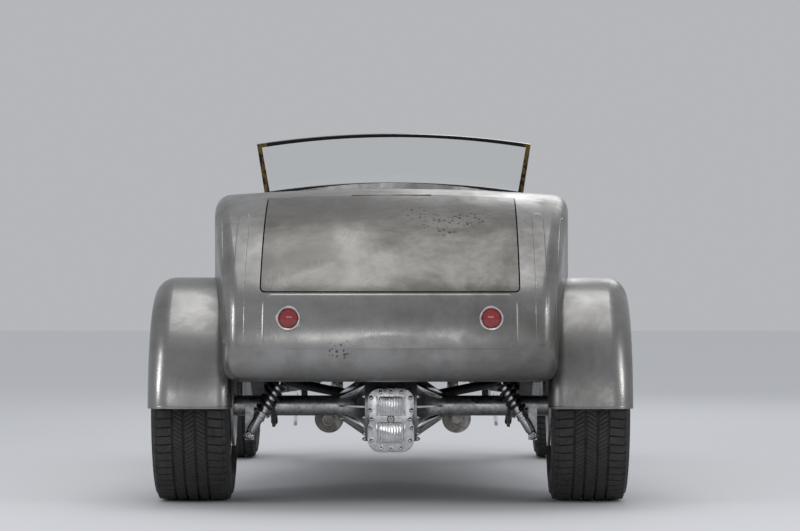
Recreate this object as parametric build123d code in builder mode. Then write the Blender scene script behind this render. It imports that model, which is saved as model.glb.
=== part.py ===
"""Street rod roadster: bare steel body on a boxed frame, quick-change rear axle, bobbed fenders.

Millimetres. +Y is forward, +X is the car's right, +Z is up. The floor is z = 0 and the origin lies
under the middle of the car's length and width.
"""
import os
from math import acos, asin, atan2, cos, degrees, hypot, radians, sin, sqrt, tan

from build123d import *

os.makedirs("parts", exist_ok=True)

# ---------------------------------------------------------------- driving dimensions
WHEELBASE = 2692.0
TAIL_OVERHANG = 640.0                 # tail behind the rear axle
FIT = 0.3                             # clearance between neighbouring pieces
PANEL_GAP = 5.0                       # shut lines of doors, lid and bonnet
WALL = 36.0                           # whole thickness of body walls, doors and lid
SHEET = 5.0                           # bonnet and bracket sheet

# wheels: tyre radius, tyre width, rim radius, distance between wheel centres
REAR_TYRE_RADIUS = 355.0
REAR_TYRE_WIDTH = 290.0
REAR_RIM_RADIUS = 203.0
REAR_TRACK = 1470.0
FRONT_TYRE_RADIUS = 305.0
FRONT_TYRE_WIDTH = 165.0
FRONT_RIM_RADIUS = 192.0
FRONT_TRACK = 1430.0

# fore and aft stations, measured forward from the rear axle
REAR_Y = (TAIL_OVERHANG - WHEELBASE - FRONT_TYRE_RADIUS) / 2
FRONT_Y = REAR_Y + WHEELBASE
COCKPIT_REAR_Y = REAR_Y + 380.0
DOOR_REAR_Y = REAR_Y + 640.0
COWL_REAR_Y = REAR_Y + 1330.0
FIREWALL_Y = REAR_Y + 1981.0
SHELL_REAR_Y = REAR_Y + 2650.0
TAIL_Y = REAR_Y - TAIL_OVERHANG

# body heights
DECK_TOP_Z = 1178.0                   # crown of the tail at the cockpit's rear edge
TAIL_WIDEST_Z = 600.0                 # where the tail reaches furthest back
PAN_Z = 462.0                         # underside of the rolled tail pan
SILL_Z = 500.0                        # underside of the body on the frame
TAIL_RADIUS = 330.0                   # side view arc between deck and tail
DECK_CROWN = 29.0                     # drop of the deck's edges below its crown
TAIL_BOW = 62.0                       # how far the tail's edges lie ahead of its middle
CROWN_HALF = 700.0                    # half-width at which crown and bow are measured
SHOULDER_RADIUS = 60.0

# body half-widths in plan
HALF_COWL_REAR = 600.0
HALF_WIDEST = 677.0
HALF_TAIL = 587.0
WIDEST_Y = REAR_Y + 330.0
TAIL_CORNER_Y = REAR_Y - 580.0

# deck lid
LID_TOP_Y = REAR_Y + 90.0
LID_BOTTOM_Z = 789.0
LID_HALF = 463.0
LID_CORNER = 14.0
LID_HINGE_HALF = 150.0

# doors
DOOR_BOTTOM_Z = 545.0
HANDLE_Z = 880.0
HANDLE_REACH = 34.0
DOOR_HINGES_Z = (640.0, 850.0, 1050.0)

# cowl and bonnet sections: half-width, crown height, drop of the shoulders
COWL_MID_Y = REAR_Y + 1640.0
HALF_COWL_MID = 525.0
HALF_FIREWALL = 412.0
HALF_SHELL = 268.0
COWL_REAR_CROWN_Z = 1226.0
COWL_MID_CROWN_Z = 1203.0
FIREWALL_CROWN_Z = 1176.0
SHELL_CROWN_Z = 1136.0
COWL_DROP = 74.0
FIREWALL_SHOULDER = 115.0
HOOD_SPLIT_REAR_Z = 950.0
HOOD_SPLIT_FRONT_Z = 925.0
HINGE_RADIUS = 4.5

# grille shell
SHELL_DEPTH = 82.0
GRILLE_DEPTH = 10.0
GRILLE_RIM = 12.0
RADIATOR_HALF = 178.0
RADIATOR_TOP_Z = 1040.0
SHELL_WALL = 20.0
SHELL_BOTTOM_Z = 470.0
HALF_SHELL_BOTTOM = 205.0
GRILLE_BAR = 6.0
GRILLE_PITCH = 21.0

# frame
RAIL_WIDTH = 50.0
RAIL_LOW_Z = 345.0
RAIL_ARCH_Z = 458.0
CROSSMEMBER_Z = 402.0
FLOOR_SHEET = 12.0
TRUNK_FLOOR_Z = 560.0

# wheel arches and fenders
ARCH_RADIUS = 400.0
WHEELHOUSE_X = 565.0
WHEELHOUSE_WALL = 18.0
FENDER_RADIUS = 481.0
FENDER_HALF_WIDTH = 882.0
FENDER_CORNER = 78.0
FENDER_INNER_X = 575.0
FENDER_INNER_CORNER = 62.0
FENDER_OPENING_RADIUS = 384.0
FENDER_SHEET = 8.0
FENDER_FORWARD = 73.0                 # degrees that a fender reaches ahead of upright
FENDER_REARWARD = 89.0
CYCLE_FORWARD = 35.0
CYCLE_REARWARD = 80.0
CYCLE_RADIUS = 347.0
CYCLE_WIDTH = 196.0
CYCLE_CORNER = 40.0
CYCLE_SHEET = 6.0

# windscreen
SCREEN_Y = REAR_Y + 1442.0
SCREEN_TOP_Z = 1433.0
SCREEN_CORNER_Z = 1390.0
SCREEN_HALF_TOP = 574.0
SCREEN_HALF_FOOT = 543.0
SCREEN_FOOT_Z = 1180.0
SCREEN_LEAN = 12.0                    # degrees back from upright
SCREEN_BAR = 13.0
SCREEN_LEG = 20.0
SCREEN_DEPTH = 16.0

# rear axle
AXLE_TUBE_RADIUS = 38.0
BELL_RADIUS = 118.0
CENTRE_HALF = 88.0
COVER_HALF = 87.0
COVER_TOP_Z = 428.0
COVER_BOTTOM_Z = 189.0
COVER_DEPTH = 70.0
COVER_WAIST_Z = 312.0
COIL_Y = REAR_Y - 100.0
COIL_FOOT_X = 530.0
COIL_FOOT_Z = 250.0
COIL_HEAD_X = 358.0
COIL_HEAD_Z = 543.0
COIL_RADIUS = 34.0
COIL_TURNS = 9

# front axle
KINGPIN_X = 640.0
BEAM_Z = 232.0
BEAM_HEIGHT = 52.0
BEAM_WIDTH = 36.0
STEERING_ARM = 140.0
ARM_Z = 237.0
ARM_THICKNESS = 13.0
TIE_ROD_Z = 225.0
DRAG_LINK_Z = 261.0
ROD_RADIUS = 10.0
PITMAN_X = -270.0
PITMAN_Y = REAR_Y + 2480.0
STEERING_BOX_HALF = 26.0

# steering column and wheel
STEERING_X = -340.0
STEERING_Y = REAR_Y + 1165.0
STEERING_Z = 1018.0
COLUMN_RADIUS = 21.0
COLUMN_SLOPE = 25.0                   # degrees below level, going forward
STEERING_WHEEL_RADIUS = 185.0
STEERING_RIM_RADIUS = 13.0

# seat
SEAT_HALF = 545.0
SEAT_REAR_Y = REAR_Y + 400.0
SEAT_FRONT_Y = REAR_Y + 960.0
SEAT_TOP_Z = 735.0
SEAT_BACK_TOP_Z = 1105.0

# lamps
TAILLIGHT_X = 362.0
TAILLIGHT_Z = 693.0
TAILLIGHT_RADIUS = 44.0
TAILLIGHT_SET_IN = 14.0
LENS_RADIUS = 33.0
LENS_RISE = 10.0
HEADLIGHT_X = 372.0
HEADLIGHT_Z = 800.0
HEADLIGHT_RADIUS = 92.0
HEADLIGHT_Y = REAR_Y + 2790.0
BOWL_DEPTH = 118.0


# floor, tunnel, dash and bulkhead
TUNNEL_HALF = 165.0
TUNNEL_TOP_Z = 628.0
TUNNEL_TAIL_HALF = 88.0
TUNNEL_TAIL_TOP_Z = 566.0
TUNNEL_KNEE_Y = REAR_Y + 1250.0
DASH_Y = REAR_Y + 1338.0
DASH_THICKNESS = 14.0
DASH_BOTTOM_Z = 985.0
GAUGE_Z = 1085.0
BULKHEAD_TOP_Z = 1095.0
BULKHEAD_HALF = 546.0

# engine, gearbox and exhausts
ENGINE_HALF = 230.0
ENGINE_FRONT_Y = REAR_Y + 2560.0
ENGINE_BOTTOM_Z = 310.0
ENGINE_TOP_Z = 930.0
CRANK_Z = 440.0
BELLHOUSING_RADIUS = 150.0
GEARBOX_RADIUS = 90.0
GEARBOX_REAR_Y = REAR_Y + 1330.0
TORQUE_TUBE_RADIUS = 36.0
PIPE_RADIUS = 25.0
TAIL_PIPE_RADIUS = 22.5
TAIL_PIPE_LENGTH = 130.0
TAIL_PIPE_WALL = 3.0
PIPE_Z = 268.0
MUFFLER_RADIUS = 58.0
MUFFLER_FRONT_Y = REAR_Y + 1240.0
MUFFLER_REAR_Y = REAR_Y + 800.0
PIPE_TOP_Y = REAR_Y + 2180.0

# links between axles and frame
LADDER_X = 440.0
LADDER_EYE_X = 478.0
LADDER_EYE_Y = REAR_Y + 590.0
LADDER_EYE_Z = 400.0
HAIRPIN_X = 460.0
HAIRPIN_EYE_X = 430.0
HAIRPIN_EYE_Y = REAR_Y + 1950.0
HAIRPIN_EYE_Z = 290.0
HAIRPIN_TOP_Z = 300.0
HAIRPIN_LOW_Z = 165.0
LINK_RADIUS = 11.0
SPRING_X = 430.0
HORN_Y = REAR_Y + 2985.0

# wheels: hub and brake
STUB_RADIUS = 20.0
RUN_FIT = 0.05                        # radial play of a wheel bearing
RUN_GAP = 5.0                         # clearance of a turning piece
DRUM_RADIUS_REAR = 152.0
DRUM_RADIUS_FRONT = 138.0
WHEEL_WINDOWS = 5
WINDOW_LOW = 98.0                     # inner radius of the wheel's windows
REAR_RIM_WIDTH = 254.0
FRONT_RIM_WIDTH = 140.0
REAR_DISC_X = 30.0                    # wheel disc outboard of the wheel's centre plane
FRONT_DISC_X = 34.0
FRONT_DRUM_X = 692.0
FRONT_STUB_RADIUS = 17.0

# knuckles and spring
AXLE_BOSS_HALF = 30.0
BOSS_RADIUS = 26.0
KINGPIN_RADIUS = 11.0
BEAM_KNEE_X = 500.0
SPRING_LEAVES = 5
LEAF_THICKNESS = 7.0
LEAF_DROP = 68.0
knuckle_web_x = KINGPIN_X + BOSS_RADIUS + 3
yoke_top_z = FRONT_TYRE_RADIUS + AXLE_BOSS_HALF + 30



def save(builder, label):
    """Label a finished piece and write its STEP file."""
    builder.part.label = label
    export_step(builder.part, f"parts/{label}.step")


def save_pair(builder, label):
    """Write a right-hand piece and its mirror image as a left and right pair."""
    with BuildPart() as other:
        mirror(builder.part, about=Plane.YZ)
    save(builder, label + "_right")
    save(other, label + "_left")


def block(x0, x1, y0, y1, z0, z1, mode=Mode.ADD):
    """Box between six planes."""
    with Locations(((x0 + x1) / 2, (y0 + y1) / 2, (z0 + z1) / 2)):
        Box(x1 - x0, y1 - y0, z1 - z0, mode=mode)


def rod(start, end, radius, mode=Mode.ADD):
    """Round bar between two points."""
    way = Vector(*end) - Vector(*start)
    with BuildSketch(Plane(origin=start, z_dir=way)) as section:
        Circle(radius)
    extrude(section.sketch, amount=way.length, mode=mode)


def on_both_sides():
    """Mirror what the part holds so far, keeping both sides."""
    mirror(about=Plane.YZ)


def eye(centre, axis, outer_radius, bore_radius, length):
    """Ring with its bore along axis, centred on a point."""
    start = Vector(*centre) - Vector(*axis) * (length / 2)
    end = Vector(*centre) + Vector(*axis) * (length / 2)
    rod(tuple(start), tuple(end), outer_radius)
    rod(tuple(start), tuple(end), bore_radius, mode=Mode.SUBTRACT)


def column_point(y):
    """Point of the steering column's centre line at a station."""
    return (STEERING_X, y, STEERING_Z - (y - STEERING_Y) * tan(radians(COLUMN_SLOPE)))


def dome_middle(radius, rise):
    """Point halfway up the arc of a spherical cap: distance from its axis, height over its rim."""
    sphere = (radius**2 + rise**2) / (2 * rise)
    half = asin(min(radius / sphere, 1.0)) / 2 if rise <= radius else acos((rise - sphere) / -sphere) / 2
    return sphere * sin(half), sphere * cos(half) - (sphere - rise)


def between(low, high, share):
    """Value a share of the way from low to high."""
    return low + (high - low) * share


# ---------------------------------------------------------------- body envelopes
def deck_radius(top_z, tail_y, small):
    """Radius of the deck's arc, tangent to the level top and to the tail's smaller arc."""
    gap = COCKPIT_REAR_Y - tail_y - small
    height = top_z - TAIL_WIDEST_Z
    return (gap**2 + height**2 - small**2) / (2 * (height - small))


def deck_height(y):
    """Height of the deck's crown at a station on its large arc."""
    large = deck_radius(DECK_TOP_Z, TAIL_Y, TAIL_RADIUS)
    return DECK_TOP_Z - large + sqrt(large**2 - (COCKPIT_REAR_Y - y) ** 2)


def side_half_width(y):
    """Half-width of the body's side arc at a station."""
    (x1, y1), (x2, y2), (x3, y3) = ((HALF_COWL_REAR, COWL_REAR_Y), (HALF_WIDEST, WIDEST_Y),
                                    (HALF_TAIL, TAIL_CORNER_Y))
    spread = 2 * (x1 * (y2 - y3) + x2 * (y3 - y1) + x3 * (y1 - y2))
    squares = (x1**2 + y1**2, x2**2 + y2**2, x3**2 + y3**2)
    cx = (squares[0] * (y2 - y3) + squares[1] * (y3 - y1) + squares[2] * (y1 - y2)) / spread
    cy = (squares[0] * (x3 - x2) + squares[1] * (x1 - x3) + squares[2] * (x2 - x1)) / spread
    return cx + sqrt((x2 - cx) ** 2 + (y2 - cy) ** 2 - (y - cy) ** 2)


door_hinge_x = side_half_width(COWL_REAR_Y - PANEL_GAP / 2)


def tail_profile(x, inset):
    """Closed side view of the body at half-width x, moved in by inset."""
    share = (x / CROWN_HALF) ** 2
    top_z = DECK_TOP_Z - DECK_CROWN * share - inset
    tail_y = TAIL_Y + TAIL_BOW * share + inset
    low_z = PAN_Z + inset
    small = TAIL_RADIUS - inset
    large = deck_radius(top_z, tail_y, small)
    deck_centre = (COCKPIT_REAR_Y, top_z - large)
    small_centre = (tail_y + small, TAIL_WIDEST_Z)
    reach = hypot(small_centre[0] - deck_centre[0], small_centre[1] - deck_centre[1])
    way = ((small_centre[0] - deck_centre[0]) / reach, (small_centre[1] - deck_centre[1]) / reach)
    join = (deck_centre[0] + large * way[0], deck_centre[1] + large * way[1])
    roll = TAIL_WIDEST_Z - low_z
    front_y = COWL_REAR_Y + 40
    turn = degrees(atan2(way[1], way[0])) - 90
    deck_start = (COCKPIT_REAR_Y, top_z)
    half_turn = radians(90 + turn / 2)
    deck_mid = (deck_centre[0] + large * cos(half_turn), deck_centre[1] + large * sin(half_turn))
    tail_turn = radians((180 + 90 + turn) / 2)
    tail_mid = (small_centre[0] + small * cos(tail_turn), small_centre[1] + small * sin(tail_turn))
    roll_mid = (tail_y + roll - roll * cos(radians(45)), TAIL_WIDEST_Z - roll * sin(radians(45)))
    with BuildSketch(Plane.YZ.offset(x)) as profile:
        with BuildLine():
            Line((front_y, low_z), (front_y, top_z))
            Line((front_y, top_z), deck_start)
            ThreePointArc(deck_start, deck_mid, join)
            ThreePointArc(join, tail_mid, (tail_y, TAIL_WIDEST_Z))
            ThreePointArc((tail_y, TAIL_WIDEST_Z), roll_mid, (tail_y + roll, low_z))
            Line((tail_y + roll, low_z), (front_y, low_z))
        make_face()
    return profile.sketch


def body_plan(inset, height=1400.0):
    """Solid that stands on the body's plan shape."""
    with BuildPart() as plan:
        with BuildSketch():
            with BuildLine():
                rear = TAIL_Y - 60
                ThreePointArc((HALF_COWL_REAR - inset, COWL_REAR_Y),
                              (HALF_WIDEST - inset, WIDEST_Y),
                              (HALF_TAIL - inset, TAIL_CORNER_Y))
                Polyline((HALF_TAIL - inset, TAIL_CORNER_Y),
                         (HALF_TAIL - inset - 24, rear),
                         (-HALF_TAIL + inset + 24, rear),
                         (-HALF_TAIL + inset, TAIL_CORNER_Y))
                ThreePointArc((-HALF_TAIL + inset, TAIL_CORNER_Y),
                              (-HALF_WIDEST + inset, WIDEST_Y),
                              (-HALF_COWL_REAR + inset, COWL_REAR_Y))
                Line((-HALF_COWL_REAR + inset, COWL_REAR_Y), (HALF_COWL_REAR - inset, COWL_REAR_Y))
            make_face()
        extrude(amount=height)
    return plan.part


def body_envelope(inset):
    """Outer form of tail, quarters and doors, moved in by inset."""
    with BuildPart() as envelope:
        loft([tail_profile(x, inset) for x in (-CROWN_HALF, 0, CROWN_HALF)])
        add(body_plan(inset), mode=Mode.INTERSECT)
        radius = max(SHOULDER_RADIUS - inset, 12.0)
        sides = envelope.faces().filter_by(lambda f: abs(f.normal_at().X) > 0.7)
        chain = []
        for face in sides:
            for edge in face.edges():
                middle = edge.position_at(0.5)
                ends = (edge.position_at(0), edge.position_at(1))
                low = all(abs(p.Z - (PAN_Z + inset)) < 1 for p in ends)
                front = all(abs(p.Y - COWL_REAR_Y) < 1 for p in ends)
                if not low and not front:
                    chain.append(edge)
        fillet(chain, radius=radius)
    return envelope.part




def arch(y, half_top, half_foot, crown_z, drop, foot_z, radius, inset=0.0, foot_inset=0.0):
    """Closed front view of cowl, hood or grille shell at one station."""
    top = half_top - inset
    foot = half_foot - inset
    crown = crown_z - inset
    corner = crown - drop
    with BuildSketch(Plane.XZ.offset(-y)) as section:
        with BuildLine():
            Line((-top, corner), (-foot, foot_z + foot_inset))
            Line((-foot, foot_z + foot_inset), (foot, foot_z + foot_inset))
            Line((foot, foot_z + foot_inset), (top, corner))
            ThreePointArc((top, corner), (0, crown), (-top, corner))
        make_face()
        fillet(section.vertices().group_by(Axis.Y)[-1], radius=max(radius - inset, 8.0))
    return section.sketch


# station, half-width at the shoulders, half-width at the foot, crown, drop, shoulder radius
COWL_SECTIONS = (
    (COWL_REAR_Y, HALF_COWL_REAR, HALF_COWL_REAR, COWL_REAR_CROWN_Z, COWL_DROP, SHOULDER_RADIUS),
    (COWL_MID_Y, HALF_COWL_MID, HALF_COWL_MID, COWL_MID_CROWN_Z, 70.0, 85.0),
    (FIREWALL_Y, HALF_FIREWALL, HALF_FIREWALL, FIREWALL_CROWN_Z, 60.0, FIREWALL_SHOULDER),
)
HOOD_SECTIONS = (
    (FIREWALL_Y, HALF_FIREWALL, HALF_FIREWALL, FIREWALL_CROWN_Z, 60.0, FIREWALL_SHOULDER),
    (SHELL_REAR_Y, HALF_SHELL, HALF_SHELL_BOTTOM + 15, SHELL_CROWN_Z, 42.0, 110.0),
)
SHELL_SECTIONS = (
    (SHELL_REAR_Y, HALF_SHELL, HALF_SHELL_BOTTOM + 10, SHELL_CROWN_Z, 42.0, 110.0),
    (SHELL_REAR_Y + SHELL_DEPTH, HALF_SHELL - 6, HALF_SHELL_BOTTOM, SHELL_CROWN_Z - 8, 42.0, 106.0),
)


def cowl_crown(y):
    """Height of the cowl's crown at a station between its rear edge and its middle."""
    return between(COWL_REAR_CROWN_Z, COWL_MID_CROWN_Z, (y - COWL_REAR_Y) / (COWL_MID_Y - COWL_REAR_Y))


def arch_envelope(sections, foot_z, inset=0.0, foot_inset=0.0):
    """Solid through the stations of one of the tables above."""
    with BuildPart() as envelope:
        loft([arch(y, top, foot, crown, drop, foot_z, radius, inset, foot_inset)
              for y, top, foot, crown, drop, radius in sections])
    return envelope.part


# ---------------------------------------------------------------- body shell
outer = body_envelope(0)
inner = body_envelope(WALL)
cowl_outer = arch_envelope(COWL_SECTIONS, SILL_Z)
cowl_inner = arch_envelope(COWL_SECTIONS, SILL_Z, WALL, -40.0)

with BuildPart() as cockpit_cut:
    add(body_plan(WALL))
    block(-800, 800, COCKPIT_REAR_Y, COWL_REAR_Y + 10, 900, 1400, mode=Mode.INTERSECT)
    fillet(cockpit_cut.edges().filter_by(Axis.Z).group_by(Axis.Y)[0], radius=90)

with BuildPart() as shell:
    add(outer)
    add(inner, mode=Mode.SUBTRACT)
    add(cockpit_cut.part, mode=Mode.SUBTRACT)
    block(-800, 800, REAR_Y - 440, COWL_REAR_Y + 10, 0, SILL_Z, mode=Mode.SUBTRACT)

door_front_y = COWL_REAR_Y - PANEL_GAP
door_rear_y = DOOR_REAR_Y + PANEL_GAP

with BuildPart() as door:
    add(shell.part)
    block(0, 800, door_rear_y + 2, door_front_y, DOOR_BOTTOM_Z, 1400, mode=Mode.INTERSECT)
    handle_y = door_rear_y + 70
    handle_x = HALF_WIDEST - 12
    rod((handle_x - 10, handle_y, HANDLE_Z), (handle_x + HANDLE_REACH - 8, handle_y, HANDLE_Z), 7)
    rod((handle_x + HANDLE_REACH - 8, handle_y - 12, HANDLE_Z),
        (handle_x + HANDLE_REACH - 8, handle_y + 105, HANDLE_Z), 8)
save_pair(door, "door")



def lid_prism(margin):
    """Block that cuts the deck lid from the body, larger all round by a margin."""
    with BuildPart() as prism:
        block(-LID_HALF - margin, LID_HALF + margin, TAIL_Y - 50, LID_TOP_Y + margin,
              LID_BOTTOM_Z - margin, 1400)
        fillet(prism.edges().filter_by(Axis.Y).group_by(Axis.Z)[0], radius=LID_CORNER + margin)
    return prism.part


with BuildPart() as decklid:
    add(shell.part)
    add(lid_prism(0), mode=Mode.INTERSECT)
save(decklid, "decklid")

arch_centre_z = REAR_TYRE_RADIUS
with BuildPart() as wheelhouse:
    for side in (-1, 1):
        rod((side * (WHEELHOUSE_X - WHEELHOUSE_WALL), REAR_Y, arch_centre_z),
            (side * 720, REAR_Y, arch_centre_z), ARCH_RADIUS + WHEELHOUSE_WALL)
    add(outer, mode=Mode.INTERSECT)
    block(-800, 800, REAR_Y - 500, REAR_Y + 500, SILL_Z, 1400, mode=Mode.INTERSECT)

with BuildPart() as body_tub:
    add(shell.part)
    block(-800, 800, DOOR_REAR_Y, COWL_REAR_Y + 50, DOOR_BOTTOM_Z - PANEL_GAP, 1400,
          mode=Mode.SUBTRACT)
    add(lid_prism(PANEL_GAP), mode=Mode.SUBTRACT)
    add(wheelhouse.part)
    for side in (-1, 1):
        rod((side * WHEELHOUSE_X, REAR_Y, arch_centre_z), (side * 760, REAR_Y, arch_centre_z),
            ARCH_RADIUS, mode=Mode.SUBTRACT)
    # hinge barrel of the deck lid, in its front shut line
    barrel = PANEL_GAP / 2 - FIT
    lid_hinge = (LID_TOP_Y + PANEL_GAP / 2, deck_height(LID_TOP_Y + PANEL_GAP / 2))
    rod((-LID_HINGE_HALF, *lid_hinge), (LID_HINGE_HALF, *lid_hinge), barrel)
    block(-LID_HINGE_HALF, LID_HINGE_HALF, lid_hinge[0], LID_TOP_Y + PANEL_GAP + 4,
          lid_hinge[1] - 12, lid_hinge[1] - 1)
save(body_tub, "body_tub")

# ---------------------------------------------------------------- cowl, dash and floor
with BuildPart() as cowl_room:
    add(cowl_inner)
    block(-800, 800, COWL_REAR_Y - 10, FIREWALL_Y - FLOOR_SHEET, 400, 1400, mode=Mode.INTERSECT)

with BuildPart() as cowl:
    add(cowl_outer)
    add(cowl_room.part, mode=Mode.SUBTRACT)
    block(-TUNNEL_HALF - FIT, TUNNEL_HALF + FIT, FIREWALL_Y - 60, FIREWALL_Y + 10,
          SILL_Z - 10, TUNNEL_TOP_Z + FIT, mode=Mode.SUBTRACT)
    rod(column_point(FIREWALL_Y - 60), column_point(FIREWALL_Y + 60), COLUMN_RADIUS + FIT,
        mode=Mode.SUBTRACT)
    # hinge barrels of the doors, in their front shut lines
    hinge_y = COWL_REAR_Y - PANEL_GAP / 2
    for side in (-1, 1):
        x = side * door_hinge_x
        for z in DOOR_HINGES_Z:
            rod((x, hinge_y, z - 30), (x, hinge_y, z + 30), barrel)
            block(min(x, x - side * 12), max(x, x - side * 12), hinge_y, COWL_REAR_Y + 4, z - 28, z + 28)
save(cowl, "cowl")

with BuildPart() as dashboard:
    add(cowl_inner)
    block(-800, 800, DASH_Y, DASH_Y + DASH_THICKNESS, DASH_BOTTOM_Z, 1400, mode=Mode.INTERSECT)
    with BuildSketch(Plane.XZ.offset(-DASH_Y)) as gauge_panel:
        with Locations((0, GAUGE_Z)):
            SlotOverall(380, 110)
    extrude(gauge_panel.sketch, amount=6)
save(dashboard, "dashboard")


def tunnel(inset):
    """Hump in the floor over gearbox and torque tube."""
    low = SILL_Z - 20
    wide = TUNNEL_HALF - inset
    narrow = TUNNEL_TAIL_HALF - inset
    with BuildPart() as hump:
        sections = []
        for y, half, top in ((FIREWALL_Y, wide, TUNNEL_TOP_Z - inset),
                             (TUNNEL_KNEE_Y, narrow, TUNNEL_TAIL_TOP_Z - inset)):
            with BuildSketch(Plane.XZ.offset(-y)) as section:
                with Locations((0, (low + top) / 2)):
                    Rectangle(2 * half, top - low)
                fillet(section.vertices().group_by(Axis.Y)[-1], radius=40 - inset)
            sections.append(section.sketch)
        loft(sections)
        extrude(sections[1], amount=TUNNEL_KNEE_Y - COCKPIT_REAR_Y - FLOOR_SHEET)
    return hump.part


with BuildPart() as floor_pan:
    add(body_plan(WALL + FIT))
    block(-800, 800, COCKPIT_REAR_Y + 40, COWL_REAR_Y, SILL_Z, SILL_Z + FLOOR_SHEET,
          mode=Mode.INTERSECT)
    block(-BULKHEAD_HALF, BULKHEAD_HALF, COCKPIT_REAR_Y, COCKPIT_REAR_Y + 40, SILL_Z,
          SILL_Z + FLOOR_SHEET)
    with BuildPart(mode=Mode.PRIVATE) as cowl_floor:
        add(arch_envelope(COWL_SECTIONS, SILL_Z, WALL + FIT, -40.0))
        block(-800, 800, COWL_REAR_Y, FIREWALL_Y - FLOOR_SHEET - FIT, SILL_Z, SILL_Z + FLOOR_SHEET,
              mode=Mode.INTERSECT)
    add(cowl_floor.part)
    block(-BULKHEAD_HALF, BULKHEAD_HALF, REAR_Y - 470, COCKPIT_REAR_Y, TRUNK_FLOOR_Z,
          TRUNK_FLOOR_Z + FLOOR_SHEET)
    block(-BULKHEAD_HALF, BULKHEAD_HALF, COCKPIT_REAR_Y, COCKPIT_REAR_Y + FLOOR_SHEET, SILL_Z,
          BULKHEAD_TOP_Z)
    with BuildPart(mode=Mode.PRIVATE) as hump:
        add(tunnel(0))
        block(-800, 800, COCKPIT_REAR_Y, FIREWALL_Y, SILL_Z, 1400, mode=Mode.INTERSECT)
    add(hump.part)
    with BuildPart(mode=Mode.PRIVATE) as hollow:
        add(tunnel(FLOOR_SHEET))
        block(-800, 800, COCKPIT_REAR_Y + FLOOR_SHEET, FIREWALL_Y + 1, 400, 1400, mode=Mode.INTERSECT)
    add(hollow.part, mode=Mode.SUBTRACT)
    add(body_tub.part, mode=Mode.SUBTRACT)
save(floor_pan, "floor_pan")

# ---------------------------------------------------------------- hood
hood_outer = arch_envelope(HOOD_SECTIONS, SILL_Z + FIT)
hood_inner = arch_envelope(HOOD_SECTIONS, SILL_Z + FIT, SHEET, -40.0)
hood_rear_y = FIREWALL_Y + PANEL_GAP
hood_front_y = SHELL_REAR_Y - PANEL_GAP
hood_slope = (FIREWALL_CROWN_Z - SHELL_CROWN_Z) / (SHELL_REAR_Y - FIREWALL_Y)


def hood_line(y, rear_z, front_z):
    """Height of a straight line along the hood."""
    return between(rear_z, front_z, (y - FIREWALL_Y) / (SHELL_REAR_Y - FIREWALL_Y))


def hood_region(x0, x1, low, high):
    """Prism between two slanting lines of the hood's side view: (rear height, front height)."""
    with BuildPart() as region:
        with BuildSketch(Plane.YZ.offset(x0)) as side_view:
            with BuildLine():
                Polyline((hood_rear_y, hood_line(hood_rear_y, *low)),
                         (hood_front_y, hood_line(hood_front_y, *low)),
                         (hood_front_y, hood_line(hood_front_y, *high)),
                         (hood_rear_y, hood_line(hood_rear_y, *high)), close=True)
            make_face()
        extrude(side_view.sketch, amount=x1 - x0)
    return region.part


with BuildPart() as hood:
    add(hood_outer)
    add(hood_inner, mode=Mode.SUBTRACT)
    add(hood_region(HINGE_RADIUS + FIT, 700, (HOOD_SPLIT_REAR_Z, HOOD_SPLIT_FRONT_Z),
                    (1400, 1400)), mode=Mode.INTERSECT)
save_pair(hood, "hood")

with BuildPart() as hood_sides:
    add(hood_outer)
    add(hood_inner, mode=Mode.SUBTRACT)
    add(hood_region(0, 700, (SILL_Z - 50, SILL_Z - 50),
                    (HOOD_SPLIT_REAR_Z - PANEL_GAP, HOOD_SPLIT_FRONT_Z - PANEL_GAP)),
        mode=Mode.INTERSECT)
    on_both_sides()
save(hood_sides, "hood_sides")

with BuildPart() as hood_hinge:
    rod((0, FIREWALL_Y + FIT, FIREWALL_CROWN_Z - hood_slope * FIT),
        (0, SHELL_REAR_Y - FIT, SHELL_CROWN_Z + hood_slope * FIT), HINGE_RADIUS)
save(hood_hinge, "hood_hinge")

# ---------------------------------------------------------------- grille shell, grille, radiator
shell_front_y = SHELL_REAR_Y + SHELL_DEPTH
with BuildPart() as grille_shell:
    add(arch_envelope(SHELL_SECTIONS, SHELL_BOTTOM_Z))
    front_edges = grille_shell.faces().sort_by(Axis.Y)[-1].edges()
    fillet(front_edges, radius=14)
    add(arch_envelope(SHELL_SECTIONS, SHELL_BOTTOM_Z, SHELL_WALL, SHELL_WALL), mode=Mode.SUBTRACT)
save(grille_shell, "grille_shell")

with BuildPart() as radiator:
    block(-RADIATOR_HALF, RADIATOR_HALF, SHELL_REAR_Y + 6, SHELL_REAR_Y + 46,
          SHELL_BOTTOM_Z + SHELL_WALL + FIT, RADIATOR_TOP_Z)
save(radiator, "radiator")

grille_y = SHELL_REAR_Y + 56
with BuildPart() as grille:
    add(arch_envelope(SHELL_SECTIONS, SHELL_BOTTOM_Z, SHELL_WALL + FIT, SHELL_WALL + FIT))
    block(-400, 400, grille_y, grille_y + GRILLE_DEPTH, 300, 1400, mode=Mode.INTERSECT)
    with BuildPart(mode=Mode.PRIVATE) as slots:
        add(arch_envelope(SHELL_SECTIONS, SHELL_BOTTOM_Z, SHELL_WALL + GRILLE_RIM,
                          SHELL_WALL + GRILLE_RIM))
        block(-400, 400, grille_y - 5, grille_y + GRILLE_DEPTH + 5, 300, 1400, mode=Mode.INTERSECT)
        count = int(2 * HALF_SHELL / GRILLE_PITCH) // 2
        for step in range(-count, count + 1):
            block(step * GRILLE_PITCH - GRILLE_BAR / 2, step * GRILLE_PITCH + GRILLE_BAR / 2,
                  grille_y - 10, grille_y + GRILLE_DEPTH + 10, 300, 1400, mode=Mode.SUBTRACT)
    add(slots.part, mode=Mode.SUBTRACT)
save(grille, "grille")

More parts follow.
